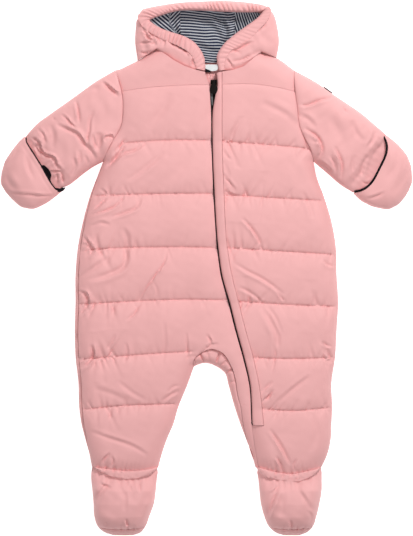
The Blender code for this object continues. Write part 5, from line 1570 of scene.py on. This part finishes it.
def addLight(name, place, size, power):
    data = bpy.data.lights.new(name, "AREA")
    data.shape = "DISK"
    data.size = size
    data.energy = power
    lamp = bpy.data.objects.new(name, data)
    lamp.location = place
    lamp.rotation_euler = (Vector((0, 0, 0)) - Vector(place)).to_track_quat("-Z", "Y").to_euler()
    bpy.context.scene.collection.objects.link(lamp)


studio = {
    "worldStrength": 0.295,
    "cameraHeight": 3.2,
    "frameTall": 2144 / 3,  # how much of the floor the camera sees from top to bottom, mm
    "frameLift": 0.020,
    "sensor": 36,
}
addLight("keyLight", (0.6, 1.5, 1.5), 0.5, 32)
addLight("topLight", (0.0, -0.12, 1.15), 0.8, 5.1)
world = bpy.data.worlds.new("studio")
bpy.context.scene.world = world
world.use_nodes = True
world.node_tree.nodes["Background"].inputs["Color"].default_value = (1, 1, 1, 1)
world.node_tree.nodes["Background"].inputs["Strength"].default_value = studio["worldStrength"]

view = bpy.data.cameras.new("camera")
view.sensor_width = studio["sensor"]
view.lens = studio["cameraHeight"] * view.sensor_width / (studio["frameTall"] * mm)
eye = bpy.data.objects.new("camera", view)
eye.location = (0, 0, studio["cameraHeight"] + studio["frameLift"])
bpy.context.scene.collection.objects.link(eye)
bpy.context.scene.camera = eye
bpy.context.scene.view_settings.view_transform = "Standard"


class Wire:  # a socket that can stand in a sum
    def __init__(self, tree, socket):
        self.tree, self.socket = tree, socket

    def maths(self, operation, other, turned=False):
        node = self.tree.nodes.new("ShaderNodeMath")
        node.operation = operation
        for place, value in zip(node.inputs, (other, self) if turned else (self, other)):
            if isinstance(value, Wire):
                self.tree.links.new(value.socket, place)
            else:
                place.default_value = value
        return Wire(self.tree, node.outputs[0])

    def __add__(self, other):
        return self.maths("ADD", other)

    def __radd__(self, other):
        return self.maths("ADD", other, True)

    def __sub__(self, other):
        return self.maths("SUBTRACT", other)

    def __rsub__(self, other):
        return self.maths("SUBTRACT", other, True)

    def __mul__(self, other):
        return self.maths("MULTIPLY", other)

    def __rmul__(self, other):
        return self.maths("MULTIPLY", other, True)


class Finish:  # one material and its nodes
    def __init__(self, name, **constants):
        self.material = bpy.data.materials.new(name)
        self.material.use_nodes = True
        self.tree = self.material.node_tree
        self.shader = self.tree.nodes["Principled BSDF"]
        for socket, value in constants.items():
            self.shader.inputs[socket.replace("_", " ")].default_value = value

    def node(self, kind, settings=None, sockets=None, out=0):
        node = self.tree.nodes.new(kind)
        for key, value in (settings or {}).items():
            if key == "stops":
                for place, (where, colour) in enumerate(value):
                    elements = node.color_ramp.elements
                    stop = elements[place] if place < 2 else elements.new(where)
                    stop.position, stop.color = where, (*colour, 1)
            else:
                setattr(node, key, value)
        for key, value in (sockets or {}).items():
            place = node.inputs[key]
            if isinstance(value, Wire):
                self.tree.links.new(value.socket, place)
            else:
                place.default_value = value
        return Wire(self.tree, node.outputs[out])

    def mix(self, share, first, second):
        return self.node("ShaderNodeMix", {"data_type": "RGBA"}, {0: share, 6: first, 7: second}, 2)

    def feed(self, socket, wire):
        self.tree.links.new(wire.socket, self.shader.inputs[socket])

    def bump(self, height, strength, distance):
        self.feed("Normal", self.node("ShaderNodeBump", None, {"Strength": strength, "Distance": distance,
                                                               "Height": height}))


def shellFinish():
    cloth = Finish("shellCloth", Roughness=0.62, Sheen_Weight=0.18, Sheen_Roughness=0.5,
                   Specular_IOR_Level=0.32)
    place = cloth.node("ShaderNodeTexCoord", None, None, "Object")
    drift = cloth.node("ShaderNodeTexNoise", None, {"Vector": place, "Scale": 9.0, "Detail": 3.0})
    fine = cloth.node("ShaderNodeTexNoise", None, {"Vector": place, "Scale": 900.0, "Detail": 2.0})
    warp = cloth.node("ShaderNodeTexWave", {"bands_direction": "X"}, {"Vector": place, "Scale": 620.0,
                                                                      "Distortion": 1.5})
    weft = cloth.node("ShaderNodeTexWave", {"bands_direction": "Y"}, {"Vector": place, "Scale": 620.0,
                                                                      "Distortion": 1.5})
    shade = drift * 0.5 + fine * 0.25 + 0.12
    cloth.feed("Base Color", cloth.mix(shade, (0.75, 0.372, 0.368, 1), (0.79, 0.407, 0.403, 1)))
    cloth.bump(warp * 0.4 + weft * 0.4 + fine * 0.6, 0.22, 0.00012)
    return cloth.material


def plainFinish(name, colour, rough):
    cloth = Finish(name, Roughness=rough, Specular_IOR_Level=0.08)
    place = cloth.node("ShaderNodeTexCoord", None, None, "Object")
    fine = cloth.node("ShaderNodeTexNoise", None, {"Vector": place, "Scale": 700.0, "Detail": 2.0})
    darker = tuple(value * 0.75 for value in colour)
    cloth.feed("Base Color", cloth.mix(fine, (*darker, 1), (*colour, 1)))
    cloth.bump(fine, 0.3, 0.0002)
    return cloth.material


def stripedFinish():
    cloth = Finish("liningJersey", Roughness=0.85, Specular_IOR_Level=0.2)
    stripe = cloth.node("ShaderNodeAttribute", {"attribute_name": "stripe"}, None, 2)
    share = stripe.maths("FRACT", 0.0)
    place = cloth.node("ShaderNodeTexCoord", None, None, "Object")
    fine = cloth.node("ShaderNodeTexNoise", None, {"Vector": place, "Scale": 800.0, "Detail": 2.0})
    navy = (0.022, 0.026, 0.05)
    # the light stripes are white knit painted down to grey (0.48 to 0.58): painted shade of the hollow of
    # the hood
    stops = ((0.0, navy), (0.56, navy), (0.64, (0.48, 0.5, 0.54)), (0.93, (0.52, 0.54, 0.58)), (1.0, navy))
    ramp = cloth.node("ShaderNodeValToRGB", {"stops": stops}, {"Fac": share + (fine - 0.5) * 0.06})
    cloth.feed("Base Color", ramp)
    cloth.bump(fine, 0.25, 0.0002)
    return cloth.material


finishes = {
    "shell": shellFinish(),
    "lining": stripedFinish(),
    "binding": plainFinish("blackElastic", (0.008, 0.007, 0.009), 0.7),
    "zip": plainFinish("zipCoil", (0.008, 0.005, 0.005), 0.6),
    "label": plainFinish("labelTape", (0.72, 0.74, 0.75), 0.7),
    # the selvage's dark grey is the tape's own grey together with painted shade of the wedge beside the zip
    "zipSelvage": plainFinish("greyTapeAndPaintedShade", (0.15, 0.15, 0.155), 0.8),
}

floorMesh = bpy.data.meshes.new("floor")
corners = [(x, y, -0.0006) for x, y in ((-6, -6), (6, -6), (6, 6), (-6, 6))]
floorMesh.from_pydata(corners, [], [(0, 1, 2, 3)])
floor = bpy.data.objects.new("floor", floorMesh)
bpy.context.scene.collection.objects.link(floor)
paper = Finish("paleFloor", Base_Color=(0.9, 0.9, 0.9, 1), Roughness=0.9, Emission_Color=(1, 1, 1, 1),
               Emission_Strength=0.75)
floorMesh.materials.append(paper.material)

standsFor = {
    "frontRight": ["front_right"], "frontLeft": ["front_left"], "yokeRight": ["yoke_right"],
    "yokeLeft": ["yoke_left"], "zipFlap": ["zip_flap"], "back": ["back"], "sleeveRight": ["sleeve_right"],
    "sleeveLeft": ["sleeve_left"], "mittRight": ["mitt_right"], "mittLeft": ["mitt_left"],
    "bindingRight": ["binding_right"], "bindingLeft": ["binding_left"], "hemRight": ["hem_right"],
    "hemLeft": ["hem_left"], "bootieRight": ["bootie_right"], "bootieLeft": ["bootie_left"],
    "soleRight": ["sole_right"], "soleLeft": ["sole_left"], "hoodBack": ["hood_back"],
    "hoodSideRight": ["hood_side_right"], "hoodSideLeft": ["hood_side_left"], "hoodRim": ["hood_rim"],
    "liningRight": ["lining_right"], "liningCentre": ["lining_centre"], "liningLeft": ["lining_left"],
    "zipTape": ["zip"], "sliderBody": ["zip_slider"], "pullTab": ["pull_tab"],
    "chinGuard": ["chin_guard"], "neckLabel": ["neck_label"], "neckTape": ["neck_tape"],
    "sleeveTab": ["sleeve_tab"],
}
for name, (piece, slot) in made.items():
    piece.data.materials.append(finishes.get(name, finishes[slot]))
    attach(piece, "pull" if name == "pullTab" else "suit")
    if name in standsFor:
        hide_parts(*standsFor[name])
for node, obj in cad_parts.items():
    if not obj.hide_render:
        obj.data.materials.clear()
        obj.data.materials.append(finishes["shell"])
